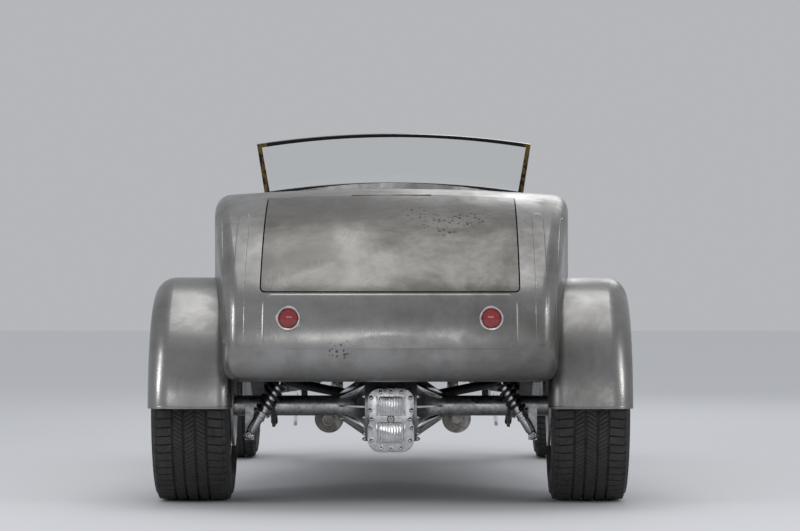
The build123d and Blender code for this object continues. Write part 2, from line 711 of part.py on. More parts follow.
# ---------------------------------------------------------------- windscreen
screen_plane = Plane(origin=(0, SCREEN_Y, SCREEN_FOOT_Z), x_dir=(1, 0, 0),
                     z_dir=(0, -cos(radians(SCREEN_LEAN)), -sin(radians(SCREEN_LEAN))))
screen_scale = 1 / cos(radians(SCREEN_LEAN))


def screen_outline(side_in, top_in, foot_in):
    """Outline of the windscreen in its own leaning plane, moved in by each bar's width."""
    top = (SCREEN_TOP_Z - SCREEN_FOOT_Z) * screen_scale - top_in
    corner = (SCREEN_CORNER_Z - SCREEN_FOOT_Z) * screen_scale - top_in
    foot_crown = (cowl_crown(SCREEN_Y) + FIT - SCREEN_FOOT_Z) * screen_scale + foot_in
    with BuildSketch(screen_plane) as outline:
        with BuildLine():
            Line((-SCREEN_HALF_FOOT + side_in, foot_in), (-SCREEN_HALF_TOP + side_in, corner))
            ThreePointArc((-SCREEN_HALF_TOP + side_in, corner), (0, top),
                          (SCREEN_HALF_TOP - side_in, corner))
            Line((SCREEN_HALF_TOP - side_in, corner), (SCREEN_HALF_FOOT - side_in, foot_in))
            ThreePointArc((SCREEN_HALF_FOOT - side_in, foot_in), (0, foot_crown),
                          (-SCREEN_HALF_FOOT + side_in, foot_in))
        make_face()
    return outline.sketch


with BuildPart() as windshield_frame:
    extrude(screen_outline(0, 0, 0), amount=SCREEN_DEPTH / 2, both=True)
    extrude(screen_outline(SCREEN_LEG, SCREEN_BAR, SCREEN_BAR), amount=SCREEN_DEPTH, both=True,
            mode=Mode.SUBTRACT)
    for side in (-1, 1):
        with BuildSketch(screen_plane) as foot:
            with Locations((side * (SCREEN_HALF_FOOT - SCREEN_LEG / 2), -18)):
                Rectangle(SCREEN_LEG, 54)
        extrude(foot.sketch, amount=SCREEN_DEPTH / 2, both=True)
    add(cowl_outer, mode=Mode.SUBTRACT)
save(windshield_frame, "windshield_frame")

with BuildPart() as windshield_glass:
    extrude(screen_outline(SCREEN_LEG + FIT, SCREEN_BAR + FIT, SCREEN_BAR + FIT), amount=2.5,
            both=True)
    add(cowl_outer, mode=Mode.SUBTRACT)
save(windshield_glass, "windshield_glass")

# ---------------------------------------------------------------- seat
seat_base_z = TUNNEL_TAIL_TOP_Z + FIT
with BuildPart() as seat_cushion:
    with BuildSketch(Plane.YZ.offset(-SEAT_HALF)) as side_view:
        with BuildLine():
            Polyline((SEAT_REAR_Y, seat_base_z), (SEAT_FRONT_Y, seat_base_z),
                     (SEAT_FRONT_Y, SEAT_TOP_Z + 14), (SEAT_REAR_Y, SEAT_TOP_Z - 12), close=True)
        make_face()
        fillet(side_view.vertices().group_by(Axis.Y)[-2:], radius=40)
    extrude(side_view.sketch, amount=2 * SEAT_HALF)
save(seat_cushion, "seat_cushion")

with BuildPart() as seat_back:
    with BuildSketch(Plane.YZ.offset(-SEAT_HALF)) as side_view:
        with BuildLine():
            Polyline((COCKPIT_REAR_Y + FLOOR_SHEET + FIT, SEAT_TOP_Z),
                     (COCKPIT_REAR_Y + FLOOR_SHEET + FIT, SEAT_BACK_TOP_Z),
                     (COCKPIT_REAR_Y + 92, SEAT_BACK_TOP_Z),
                     (SEAT_REAR_Y + 120, SEAT_TOP_Z + 2), close=True)
        make_face()
        fillet(side_view.vertices().group_by(Axis.Y)[-1], radius=30)
    extrude(side_view.sketch, amount=2 * SEAT_HALF)
save(seat_back, "seat_back")

# ---------------------------------------------------------------- frame
# station, outer half-width of the rails
RAIL_PLAN = (
    (HORN_Y, 330.0),
    (REAR_Y + 2760, 340.0),
    (REAR_Y + 1981, 402.0),
    (REAR_Y + 1330, 545.0),
    (REAR_Y + 720, 598.0),
    (REAR_Y + 470, 545.0),
    (REAR_Y - 430, 545.0),
)
# station, height: underside from the horn back, then the top from the rear forward
RAIL_SIDE = (
    (HORN_Y, 436.0),
    (REAR_Y + 2700, 400.0),
    (REAR_Y + 2400, 372.0),
    (REAR_Y + 2050, RAIL_LOW_Z),
    (REAR_Y + 520, RAIL_LOW_Z),
    (REAR_Y + 260, RAIL_ARCH_Z),
    (REAR_Y - 430, RAIL_ARCH_Z),
    (REAR_Y - 430, TRUNK_FLOOR_Z),
    (COCKPIT_REAR_Y - 70, TRUNK_FLOOR_Z),
    (COCKPIT_REAR_Y - 5, SILL_Z),
    (REAR_Y + 2560, SILL_Z),
    (HORN_Y, 482.0),
)


def rail_outer(y):
    """Outer half-width of the rails at a station."""
    for (fore, fore_x), (aft, aft_x) in zip(RAIL_PLAN, RAIL_PLAN[1:]):
        if aft <= y <= fore:
            return between(aft_x, fore_x, (y - aft) / (fore - aft))
    return RAIL_PLAN[0][1]


with BuildPart() as frame_rails:
    with BuildSketch() as rail_plan:
        with BuildLine():
            Polyline(*[(x, y) for y, x in RAIL_PLAN],
                     *[(x - RAIL_WIDTH, y) for y, x in reversed(RAIL_PLAN)], close=True)
        make_face()
    extrude(rail_plan.sketch, amount=900)
    with BuildSketch(Plane.YZ) as rail_side:
        with BuildLine():
            Polyline(*RAIL_SIDE, close=True)
        make_face()
    extrude(rail_side.sketch, amount=900, mode=Mode.INTERSECT)
    # brackets and bosses of the right-hand rail
    eye_rail = rail_outer(LADDER_EYE_Y) - RAIL_WIDTH
    rod((LADDER_EYE_X - 16, LADDER_EYE_Y, LADDER_EYE_Z), (eye_rail + 10, LADDER_EYE_Y, LADDER_EYE_Z), 10)
    hairpin_rail = rail_outer(HAIRPIN_EYE_Y)
    block(hairpin_rail - 28, hairpin_rail - 2, HAIRPIN_EYE_Y - 16, HAIRPIN_EYE_Y + 16,
          HAIRPIN_EYE_Z - 18, RAIL_LOW_Z + 10)
    rod((hairpin_rail - 10, HAIRPIN_EYE_Y, HAIRPIN_EYE_Z),
        (HAIRPIN_EYE_X + 18, HAIRPIN_EYE_Y, HAIRPIN_EYE_Z), 8)
    mount_y = REAR_Y + 2300
    mount_rail = rail_outer(mount_y) - RAIL_WIDTH
    rod((ENGINE_HALF + FIT, mount_y, CRANK_Z), (mount_rail + 10, mount_y, CRANK_Z), 28)
    on_both_sides()
    # crossmembers: front, gearbox, coil-over tube, rear
    front_rail = rail_outer(FRONT_Y) - RAIL_WIDTH + 10
    block(-front_rail, front_rail, FRONT_Y - 42, FRONT_Y + 42, CROSSMEMBER_Z, SHELL_BOTTOM_Z - FIT)
    gearbox_y = REAR_Y + 1420
    gearbox_rail = rail_outer(gearbox_y) - RAIL_WIDTH + 10
    for side in (-1, 1):
        rod((side * gearbox_rail, gearbox_y, 400), (side * 110, gearbox_y, 325), 20)
    rod((-110, gearbox_y, 325), (110, gearbox_y, 325), 20)
    block(-45, 45, gearbox_y - 30, gearbox_y + 30, 325, CRANK_Z - GEARBOX_RADIUS - FIT)
    coil_rail = rail_outer(COIL_Y) - RAIL_WIDTH + 10
    rod((-coil_rail, COIL_Y + 60, COIL_HEAD_Z - 20), (coil_rail, COIL_Y + 60, COIL_HEAD_Z - 20), 22)
    for side in (-1, 1):
        rod((side * COIL_HEAD_X, COIL_Y - 24, COIL_HEAD_Z), (side * COIL_HEAD_X, COIL_Y + 62, COIL_HEAD_Z), 8)
    rear_rail = rail_outer(REAR_Y - 400) - RAIL_WIDTH + 10
    block(-rear_rail, rear_rail, REAR_Y - 430, REAR_Y - 380, RAIL_ARCH_Z + 20, TRUNK_FLOOR_Z)
    # spreader bar between the horns
    horn_rail = rail_outer(HORN_Y) - RAIL_WIDTH / 2
    rod((-horn_rail, HORN_Y - 30, 458), (horn_rail, HORN_Y - 30, 458), 16)
    # steering box mount on the left rail
    box_rail = rail_outer(PITMAN_Y) - RAIL_WIDTH
    rod((-box_rail - 10, PITMAN_Y, 420), (PITMAN_X - STEERING_BOX_HALF - FIT, PITMAN_Y, 420), 20)
save(frame_rails, "frame_rails")


def rail_top(y):
    """Height of the rails' top between the hood's front and the horns."""
    return between(SILL_Z, 482.0, (y - (REAR_Y + 2560)) / (HORN_Y - (REAR_Y + 2560)))


# ---------------------------------------------------------------- engine, gearbox, exhausts
with BuildPart() as engine:
    block(-ENGINE_HALF, ENGINE_HALF, FIREWALL_Y + 30, ENGINE_FRONT_Y, ENGINE_BOTTOM_Z, ENGINE_TOP_Z)
    rod((0, FIREWALL_Y + 32, CRANK_Z), (0, FIREWALL_Y - 110, CRANK_Z), BELLHOUSING_RADIUS)
    rod((0, FIREWALL_Y - 108, CRANK_Z), (0, GEARBOX_REAR_Y, CRANK_Z), GEARBOX_RADIUS)
save(engine, "engine")

pipe_x = ENGINE_HALF + FIT + PIPE_RADIUS
with BuildPart() as exhausts:
    rod((pipe_x, PIPE_TOP_Y, PIPE_Z), (pipe_x, PIPE_TOP_Y, 500), PIPE_RADIUS)
    with Locations((pipe_x, PIPE_TOP_Y, PIPE_Z)):
        Sphere(PIPE_RADIUS)
    rod((pipe_x, PIPE_TOP_Y, PIPE_Z), (pipe_x, MUFFLER_FRONT_Y - 5, PIPE_Z), PIPE_RADIUS)
    rod((pipe_x, MUFFLER_FRONT_Y, PIPE_Z), (pipe_x, MUFFLER_REAR_Y, PIPE_Z), MUFFLER_RADIUS)
    tail_y = MUFFLER_REAR_Y - TAIL_PIPE_LENGTH
    rod((pipe_x, MUFFLER_REAR_Y + 5, PIPE_Z), (pipe_x, tail_y, PIPE_Z), TAIL_PIPE_RADIUS)
    rod((pipe_x, MUFFLER_REAR_Y - 100, PIPE_Z), (pipe_x, tail_y - 1, PIPE_Z),
        TAIL_PIPE_RADIUS - TAIL_PIPE_WALL, mode=Mode.SUBTRACT)
    on_both_sides()
save(exhausts, "exhausts")

# ---------------------------------------------------------------- rear axle
axle_z = REAR_TYRE_RADIUS
stub_end_x = REAR_TRACK / 2 - 10
backing_x = REAR_TRACK / 2 - 140
with BuildPart() as rear_axle:
    with BuildSketch(Plane((0, REAR_Y, axle_z), x_dir=(1, 0, 0), z_dir=(0, -1, 0))) as half_section:
        with BuildLine():
            Polyline((0, 0), (0, 124), (CENTRE_HALF - 14, 124), (CENTRE_HALF - 14, BELL_RADIUS + 16),
                     (CENTRE_HALF + 8, BELL_RADIUS + 16), (CENTRE_HALF + 8, BELL_RADIUS))
            ThreePointArc((CENTRE_HALF + 8, BELL_RADIUS), (CENTRE_HALF + 42, 72),
                          (CENTRE_HALF + 112, AXLE_TUBE_RADIUS + 8))
            Polyline((CENTRE_HALF + 112, AXLE_TUBE_RADIUS + 8), (CENTRE_HALF + 112, AXLE_TUBE_RADIUS),
                     (backing_x - 9, AXLE_TUBE_RADIUS), (backing_x - 9, DRUM_RADIUS_REAR),
                     (backing_x, DRUM_RADIUS_REAR), (backing_x, STUB_RADIUS),
                     (stub_end_x, STUB_RADIUS), (stub_end_x, 0), (0, 0))
        make_face()
    revolve(half_section.sketch, axis=Axis((0, REAR_Y, axle_z), (1, 0, 0)))
    block(COIL_FOOT_X - 16, COIL_FOOT_X + 16, REAR_Y - 48, REAR_Y - 20, COIL_FOOT_Z - 22, axle_z)
    rod((COIL_FOOT_X, REAR_Y - 30, COIL_FOOT_Z), (COIL_FOOT_X, COIL_Y - 24, COIL_FOOT_Z), 8)
    on_both_sides()
    # gear case behind the centre section, and the torque tube ahead of it
    with BuildSketch(Plane.XZ.offset(-(REAR_Y - 90))) as case_outline:
        with Locations((0, (COVER_TOP_Z + COVER_BOTTOM_Z) / 2)):
            Rectangle(2 * COVER_HALF - 16, COVER_TOP_Z - COVER_BOTTOM_Z - 16)
        fillet(case_outline.vertices(), radius=40)
    extrude(case_outline.sketch, amount=COVER_DEPTH)
    tube_start = Vector(0, REAR_Y + 60, axle_z)
    rod(tuple(tube_start), (0, GEARBOX_REAR_Y + 20, CRANK_Z), TORQUE_TUBE_RADIUS)
    block(-200, 200, GEARBOX_REAR_Y - FIT, GEARBOX_REAR_Y + 200, 200, 700, mode=Mode.SUBTRACT)
save(rear_axle, "rear_axle")

cover_y = REAR_Y - 90 - COVER_DEPTH
with BuildPart() as quick_change_cover:
    with BuildSketch(Plane.XZ.offset(-(cover_y - FIT))) as plate_outline:
        with Locations((0, (COVER_TOP_Z + COVER_BOTTOM_Z) / 2)):
            Rectangle(2 * COVER_HALF, COVER_TOP_Z - COVER_BOTTOM_Z)
        fillet(plate_outline.vertices(), radius=48)
    extrude(plate_outline.sketch, amount=14)
    # two raised panels of upright fins, above and below the waist
    for low, high in ((COVER_WAIST_Z + 12, COVER_TOP_Z - 34), (COVER_BOTTOM_Z + 36, COVER_WAIST_Z - 12)):
        block(-44, 44, cover_y - FIT - 24, cover_y - FIT - 12, low, high)
        for step in range(-3, 4):
            block(step * 13 - 2.5, step * 13 + 2.5, cover_y - FIT - 34, cover_y - FIT - 20,
                  low + 3, high - 3)
    # nuts down both edges, along the foot and at the waist
    nuts = [(side * 72, z) for side in (-1, 1) for z in (368, 316, 262)]
    nuts += [(-36, 206), (0, 200), (36, 206), (-48, COVER_WAIST_Z), (48, COVER_WAIST_Z), (0, COVER_WAIST_Z)]
    nuts += [(-38, 410), (0, 414), (38, 410)]
    for x, z in nuts:
        rod((x, cover_y - FIT - 12, z), (x, cover_y - FIT - 34, z), 9)
save(quick_change_cover, "quick_change_cover")

# ---------------------------------------------------------------- coil-overs and ladder bars
with BuildPart() as coil_overs:
    foot = Vector(COIL_FOOT_X, COIL_Y, COIL_FOOT_Z)
    head = Vector(COIL_HEAD_X, COIL_Y, COIL_HEAD_Z)
    way = (head - foot).normalized()
    span = (head - foot).length
    spring_low = 0.28 * span
    spring_high = 0.93 * span
    rod(tuple(foot + way * 14), tuple(foot + way * (spring_low + 4)), 21)
    rod(tuple(foot + way * spring_low), tuple(foot + way * spring_high), COIL_RADIUS - 10)
    rod(tuple(foot + way * (spring_high - 2)), tuple(head - way * 12), 12)
    for at in (spring_low, spring_high - 8):
        rod(tuple(foot + way * at), tuple(foot + way * (at + 8)), COIL_RADIUS)
    pitch = (spring_high - spring_low - 16) / COIL_TURNS
    for turn in range(COIL_TURNS):
        at = spring_low + 8 + pitch * (turn + 0.5)
        rod(tuple(foot + way * (at - 4)), tuple(foot + way * (at + 4)), COIL_RADIUS)
    for end in (foot, head):
        eye(end, (0, 1, 0), 16, 8 + FIT, 32)
    on_both_sides()
save(coil_overs, "coil_overs")

with BuildPart() as ladder_bars:
    block(LADDER_X - 5, LADDER_X + 5, REAR_Y - 52, REAR_Y + 52, axle_z - 78, axle_z + 78)
    for z in (axle_z - 62, axle_z + 62):
        rod((LADDER_X, REAR_Y + 30, z), (LADDER_EYE_X, LADDER_EYE_Y - 8, LADDER_EYE_Z), 13)
    strut_y = between(REAR_Y, LADDER_EYE_Y, 0.4)
    strut_x = between(LADDER_X, LADDER_EYE_X, 0.4)
    rod((strut_x, strut_y, between(axle_z - 62, LADDER_EYE_Z, 0.4)),
        (strut_x, strut_y, between(axle_z + 62, LADDER_EYE_Z, 0.4)), 9)
    eye((LADDER_EYE_X, LADDER_EYE_Y, LADDER_EYE_Z), (1, 0, 0), 22, 10 + FIT, 28)
    rod((LADDER_X - 10, REAR_Y, axle_z), (LADDER_X + 10, REAR_Y, axle_z), AXLE_TUBE_RADIUS + FIT,
        mode=Mode.SUBTRACT)
    on_both_sides()
save(ladder_bars, "ladder_bars")


# ---------------------------------------------------------------- wheels and tyres
def tyre_solid(centre, width, radius, rim_radius, rim_width):
    """Closed tyre, flat treaded, with rounded shoulders and bulging walls."""
    half = width / 2
    bead = rim_width / 2 - 11
    with BuildPart() as tyre:
        with BuildSketch(Plane(centre, x_dir=(1, 0, 0), z_dir=(0, -1, 0))) as section:
            with BuildLine():
                Line((-bead, rim_radius + FIT), (bead, rim_radius + FIT))
                Line((bead, rim_radius + FIT), (bead, rim_radius + 20))
                ThreePointArc((bead, rim_radius + 20), (half, between(rim_radius, radius, 0.52)),
                              (half - 9, radius - 20))
                ThreePointArc((half - 9, radius - 20), (half - 15, radius - 9), (half - 28, radius - 3))
                ThreePointArc((half - 28, radius - 3), (0, radius), (-half + 28, radius - 3))
                ThreePointArc((-half + 28, radius - 3), (-half + 15, radius - 9),
                              (-half + 9, radius - 20))
                ThreePointArc((-half + 9, radius - 20), (-half, between(rim_radius, radius, 0.52)),
                              (-bead, rim_radius + 20))
                Line((-bead, rim_radius + 20), (-bead, rim_radius + FIT))
            make_face()
        revolve(section.sketch, axis=Axis(centre, (1, 0, 0)))
    return tyre


def rim_solid(centre, rim_radius, rim_width, disc_x, drum_in, drum_radius, stub_radius):
    """Rim, windowed disc, hub and brake drum of a right-hand wheel, bored for its stub axle.

    disc_x and drum_in are measured outward from the wheel's centre plane.
    """
    half = rim_width / 2
    cx, cy, cz = centre
    plane = Plane(centre, x_dir=(1, 0, 0), z_dir=(0, -1, 0))
    window_high = rim_radius - 34
    window_arcs = [CenterArc((0, 0), (window_high + WINDOW_LOW) / 2, 360 / WHEEL_WINDOWS * index + 90 - 22, 44)
                   for index in range(WHEEL_WINDOWS)]
    with BuildPart() as rim:
        with BuildSketch(plane) as section:
            with BuildLine():
                Polyline((-half, rim_radius - 10), (-half, rim_radius + 15), (-half + 8, rim_radius + 15),
                         (-half + 10, rim_radius), (half - 10, rim_radius), (half - 8, rim_radius + 15),
                         (half, rim_radius + 15), (half, rim_radius - 10), (disc_x + 16, rim_radius - 14),
                         (disc_x + 16, rim_radius - 30), (disc_x + 4, 96), (disc_x + 18, 74),
                         (disc_x + 18, stub_radius + RUN_FIT), (disc_x - 14, stub_radius + RUN_FIT),
                         (disc_x - 14, rim_radius - 26), (disc_x - 14, rim_radius - 12),
                         (-half + 4, rim_radius - 12), close=True)
            make_face()
        revolve(section.sketch, axis=Axis(centre, (1, 0, 0)))
        # kidney windows between the spokes
        window_plane = Plane(origin=(cx + disc_x - 30, cy, cz), x_dir=(0, 1, 0), z_dir=(1, 0, 0))
        with BuildSketch(window_plane) as windows:
            for arc in window_arcs:
                SlotArc(arc, window_high - WINDOW_LOW)
        extrude(windows.sketch, amount=60, mode=Mode.SUBTRACT)
        # brake drum inboard of the disc
        rod((cx + drum_in, cy, cz), (cx + disc_x - 12, cy, cz), drum_radius)
        rod((cx + drum_in - 1, cy, cz), (cx + disc_x - 10, cy, cz), stub_radius + RUN_FIT,
            mode=Mode.SUBTRACT)
        # closed cap over the stub's end
        with BuildSketch(plane) as cap:
            with BuildLine():
                Polyline((disc_x + 17, 0), (disc_x + 17, 46), (disc_x + 34, 42))
                ThreePointArc((disc_x + 34, 42), (disc_x + 34 + 16 * sin(radians(45)),
                              26 + 16 * cos(radians(45))), (disc_x + 50, 26))
                Polyline((disc_x + 50, 26), (disc_x + 50, 0), (disc_x + 17, 0))
            make_face()
        revolve(cap.sketch, axis=Axis(centre, (1, 0, 0)))
    return rim


rear_hub = (REAR_TRACK / 2, REAR_Y, REAR_TYRE_RADIUS)
front_hub = (FRONT_TRACK / 2, FRONT_Y, FRONT_TYRE_RADIUS)
save_pair(tyre_solid(rear_hub, REAR_TYRE_WIDTH, REAR_TYRE_RADIUS, REAR_RIM_RADIUS, REAR_RIM_WIDTH),
          "rear_tyre")
save_pair(tyre_solid(front_hub, FRONT_TYRE_WIDTH, FRONT_TYRE_RADIUS, FRONT_RIM_RADIUS,
                     FRONT_RIM_WIDTH), "front_tyre")
save_pair(rim_solid(rear_hub, REAR_RIM_RADIUS, REAR_RIM_WIDTH, REAR_DISC_X,
                    backing_x + RUN_GAP - rear_hub[0], DRUM_RADIUS_REAR, STUB_RADIUS), "rear_wheel")
save_pair(rim_solid(front_hub, FRONT_RIM_RADIUS, FRONT_RIM_WIDTH, FRONT_DISC_X,
                    FRONT_DRUM_X - front_hub[0], DRUM_RADIUS_FRONT, FRONT_STUB_RADIUS), "front_wheel")


# ---------------------------------------------------------------- fenders
def fender_plane(centre, forward_angle):
    """Plane of a fender's first section, leaning forward of the wheel's centre."""
    lean = radians(forward_angle)
    return Plane(origin=centre, x_dir=(1, 0, 0), z_dir=(0, -cos(lean), sin(lean)))


def fender_solid(centre, first, last, rows):
    """Arched sheet turned about a wheel's centre; rows are the outer and inner half sections.

    Each row is (inboard x, outboard x, opening radius, crown radius, inboard corner, outboard corner),
    corners of 0 staying square.
    """
    with BuildPart() as fender:
        plane = fender_plane(centre, first)
        faces = []
        for x_in, x_out, low, high, corner_in, corner_out in rows:
            with BuildSketch(plane) as section:
                with BuildLine():
                    Polyline((x_in, low), (x_in, high), (x_out, high), (x_out, low), close=True)
                make_face()
                crown = section.vertices().group_by(Axis.Y)[-1].sort_by(Axis.X)
                if corner_in > 0:
                    fillet(crown[0], radius=corner_in)
                crown = section.vertices().sort_by(Axis.X)
                if corner_out > 0:
                    fillet(section.vertices().group_by(Axis.Y)[-1].sort_by(Axis.X)[-1],
                           radius=corner_out)
            faces.append(section.sketch)
        turn = Axis(centre, (1, 0, 0))
        revolve(faces[0], axis=turn, revolution_arc=first + last)
        revolve(faces[1], axis=turn, revolution_arc=first + last, mode=Mode.SUBTRACT)
    return fender


rear_arch = (0, REAR_Y, REAR_TYRE_RADIUS)
with BuildPart() as rear_fender:
    add(fender_solid(rear_arch, FENDER_FORWARD, FENDER_REARWARD, (
        (FENDER_INNER_X, FENDER_HALF_WIDTH, FENDER_OPENING_RADIUS, FENDER_RADIUS, FENDER_INNER_CORNER,
         FENDER_CORNER),
        (FENDER_INNER_X + FENDER_SHEET, FENDER_HALF_WIDTH - FENDER_SHEET, FENDER_OPENING_RADIUS - 20,
         FENDER_RADIUS - FENDER_SHEET, FENDER_INNER_CORNER - FENDER_SHEET,
         FENDER_CORNER - FENDER_SHEET))).part)
    add(outer, mode=Mode.SUBTRACT)
save_pair(rear_fender, "rear_fender")

front_arch = (FRONT_TRACK / 2, FRONT_Y, FRONT_TYRE_RADIUS)
cycle_half = CYCLE_WIDTH / 2
strut_x = FRONT_TRACK / 2 - cycle_half
with BuildPart() as front_fender:
    add(fender_solid(front_arch, CYCLE_FORWARD, CYCLE_REARWARD, (
        (-cycle_half, cycle_half, CYCLE_RADIUS - 44, CYCLE_RADIUS, CYCLE_CORNER, CYCLE_CORNER),
        (-cycle_half + CYCLE_SHEET, cycle_half - CYCLE_SHEET, CYCLE_RADIUS - 60,
         CYCLE_RADIUS - CYCLE_SHEET, CYCLE_CORNER - CYCLE_SHEET, CYCLE_CORNER - CYCLE_SHEET))).part)
    block(strut_x, strut_x + CYCLE_SHEET, FRONT_Y - 16, FRONT_Y + 16, yoke_top_z + FIT,
          FRONT_TYRE_RADIUS + CYCLE_RADIUS - 30)
    block(strut_x, KINGPIN_X + 14, FRONT_Y - 16, FRONT_Y + 16, yoke_top_z + FIT, yoke_top_z + 8)
save_pair(front_fender, "front_fender")

# ---------------------------------------------------------------- front axle
boss_low_z = FRONT_TYRE_RADIUS - AXLE_BOSS_HALF
boss_high_z = FRONT_TYRE_RADIUS + AXLE_BOSS_HALF
with BuildPart() as front_axle:
    with BuildSketch(Plane.XZ.offset(-(FRONT_Y + BEAM_WIDTH / 2))) as beam:
        with BuildLine():
            Polyline((0, BEAM_Z - BEAM_HEIGHT / 2), (0, BEAM_Z + BEAM_HEIGHT / 2),
                     (BEAM_KNEE_X, BEAM_Z + BEAM_HEIGHT / 2), (KINGPIN_X - 30, boss_high_z),
                     (KINGPIN_X, boss_high_z), (KINGPIN_X, boss_low_z), (KINGPIN_X - 28, boss_low_z),
                     (BEAM_KNEE_X + 20, BEAM_Z - BEAM_HEIGHT / 2), close=True)
        make_face()
    extrude(beam.sketch, amount=BEAM_WIDTH)
    rod((KINGPIN_X, FRONT_Y, boss_low_z), (KINGPIN_X, FRONT_Y, boss_high_z), BOSS_RADIUS)
    rod((KINGPIN_X, FRONT_Y, boss_low_z - 22), (KINGPIN_X, FRONT_Y, boss_high_z + 22), KINGPIN_RADIUS)
    on_both_sides()
save(front_axle, "front_axle")

with BuildPart() as front_spring:
    leaf_top = CROSSMEMBER_Z - FIT
    for leaf in range(SPRING_LEAVES):
        reach = SPRING_X * (1 - 0.13 * leaf)
        drop = LEAF_DROP * (reach / SPRING_X) ** 2
        under = (SPRING_LEAVES - 1 - leaf) * LEAF_THICKNESS
        with BuildSketch(Plane.XZ.offset(-(FRONT_Y + 22))) as strip:
            with BuildLine():
                high = leaf_top - leaf * LEAF_THICKNESS
                low = high - LEAF_THICKNESS - (FIT if leaf == SPRING_LEAVES else 0)
                ThreePointArc((-reach, high - drop), (0, high), (reach, high - drop))
                Line((reach, high - drop), (reach, low - drop))
                ThreePointArc((reach, low - drop), (0, low), (-reach, low - drop))
                Line((-reach, low - drop), (-reach, high - drop))
            make_face()
        extrude(strip.sketch, amount=44)
    for side in (-1, 1):
        x = side * SPRING_X
        block(x - 7, x + 7, FRONT_Y - 20, FRONT_Y + 20, BEAM_Z + BEAM_HEIGHT / 2 + FIT,
              leaf_top - LEAF_DROP)
    block(-28, 28, FRONT_Y - 26, FRONT_Y + 26, leaf_top - SPRING_LEAVES * LEAF_THICKNESS - 8, leaf_top)
save(front_spring, "front_spring")

plate_y = FRONT_Y - BEAM_WIDTH / 2 - FIT
with BuildPart() as hairpins:
    block(HAIRPIN_X - 8, HAIRPIN_X + 8, plate_y - 34, plate_y, HAIRPIN_LOW_Z - 18, HAIRPIN_TOP_Z + 16)
    for z in (HAIRPIN_LOW_Z, HAIRPIN_TOP_Z):
        rod((HAIRPIN_X, plate_y - 16, z), (HAIRPIN_EYE_X, HAIRPIN_EYE_Y + 8, HAIRPIN_EYE_Z), LINK_RADIUS)
    eye((HAIRPIN_EYE_X, HAIRPIN_EYE_Y, HAIRPIN_EYE_Z), (1, 0, 0), 20, 8 + FIT, 26)
    on_both_sides()
save(hairpins, "hairpins")

yoke_low_z = ARM_Z
with BuildPart() as knuckle:
    for low, high in ((yoke_low_z, boss_low_z - FIT), (boss_high_z + FIT, yoke_top_z)):
        rod((KINGPIN_X, FRONT_Y, low), (KINGPIN_X, FRONT_Y, high), BOSS_RADIUS - 2)
        block(KINGPIN_X, knuckle_web_x + 12, FRONT_Y - 22, FRONT_Y + 22, low, high)
    block(knuckle_web_x, knuckle_web_x + 12, FRONT_Y - 22, FRONT_Y + 22, yoke_low_z, yoke_top_z)
    rod((knuckle_web_x + 11, FRONT_Y, FRONT_TYRE_RADIUS),
        (knuckle_web_x + 18, FRONT_Y, FRONT_TYRE_RADIUS), DRUM_RADIUS_FRONT)
    rod((knuckle_web_x + 11, FRONT_Y, FRONT_TYRE_RADIUS),
        (front_hub[0] + FRONT_DISC_X + 12, FRONT_Y, FRONT_TYRE_RADIUS), FRONT_STUB_RADIUS)
    block(KINGPIN_X - 13, KINGPIN_X + 13, FRONT_Y - STEERING_ARM, FRONT_Y, ARM_Z, ARM_Z + ARM_THICKNESS)
    rod((KINGPIN_X, FRONT_Y - STEERING_ARM, ARM_Z),
        (KINGPIN_X, FRONT_Y - STEERING_ARM, ARM_Z + ARM_THICKNESS), 16)
    rod((KINGPIN_X, FRONT_Y, yoke_low_z - 5), (KINGPIN_X, FRONT_Y, yoke_top_z + 5),
        KINGPIN_RADIUS + RUN_FIT, mode=Mode.SUBTRACT)
save_pair(knuckle, "knuckle")

arm_end_y = FRONT_Y - STEERING_ARM
with BuildPart() as tie_rod:
    rod((-KINGPIN_X, arm_end_y, TIE_ROD_Z), (KINGPIN_X, arm_end_y, TIE_ROD_Z), ROD_RADIUS)
    for side in (-1, 1):
        rod((side * KINGPIN_X, arm_end_y, TIE_ROD_Z - 12), (side * KINGPIN_X, arm_end_y, ARM_Z - FIT), 14)
save(tie_rod, "tie_rod")

pitman_end_y = PITMAN_Y - STEERING_ARM
link_low_z = ARM_Z + ARM_THICKNESS + FIT
with BuildPart() as drag_link:
    rod((PITMAN_X, pitman_end_y, DRAG_LINK_Z), (KINGPIN_X, arm_end_y, DRAG_LINK_Z), ROD_RADIUS)
    for x, y in ((PITMAN_X, pitman_end_y), (KINGPIN_X, arm_end_y)):
        rod((x, y, link_low_z), (x, y, DRAG_LINK_Z + 10.7), 14)
save(drag_link, "drag_link")

pitman_z = DRAG_LINK_Z + 11
with BuildPart() as pitman_arm:
    block(PITMAN_X - 13, PITMAN_X + 13, pitman_end_y, PITMAN_Y, pitman_z, pitman_z + ARM_THICKNESS)
    for y in (pitman_end_y, PITMAN_Y):
        rod((PITMAN_X, y, pitman_z), (PITMAN_X, y, pitman_z + ARM_THICKNESS), 18)
    rod((PITMAN_X, PITMAN_Y, pitman_z - 5), (PITMAN_X, PITMAN_Y, pitman_z + 30), 12 + RUN_FIT,
        mode=Mode.SUBTRACT)
save(pitman_arm, "pitman_arm")

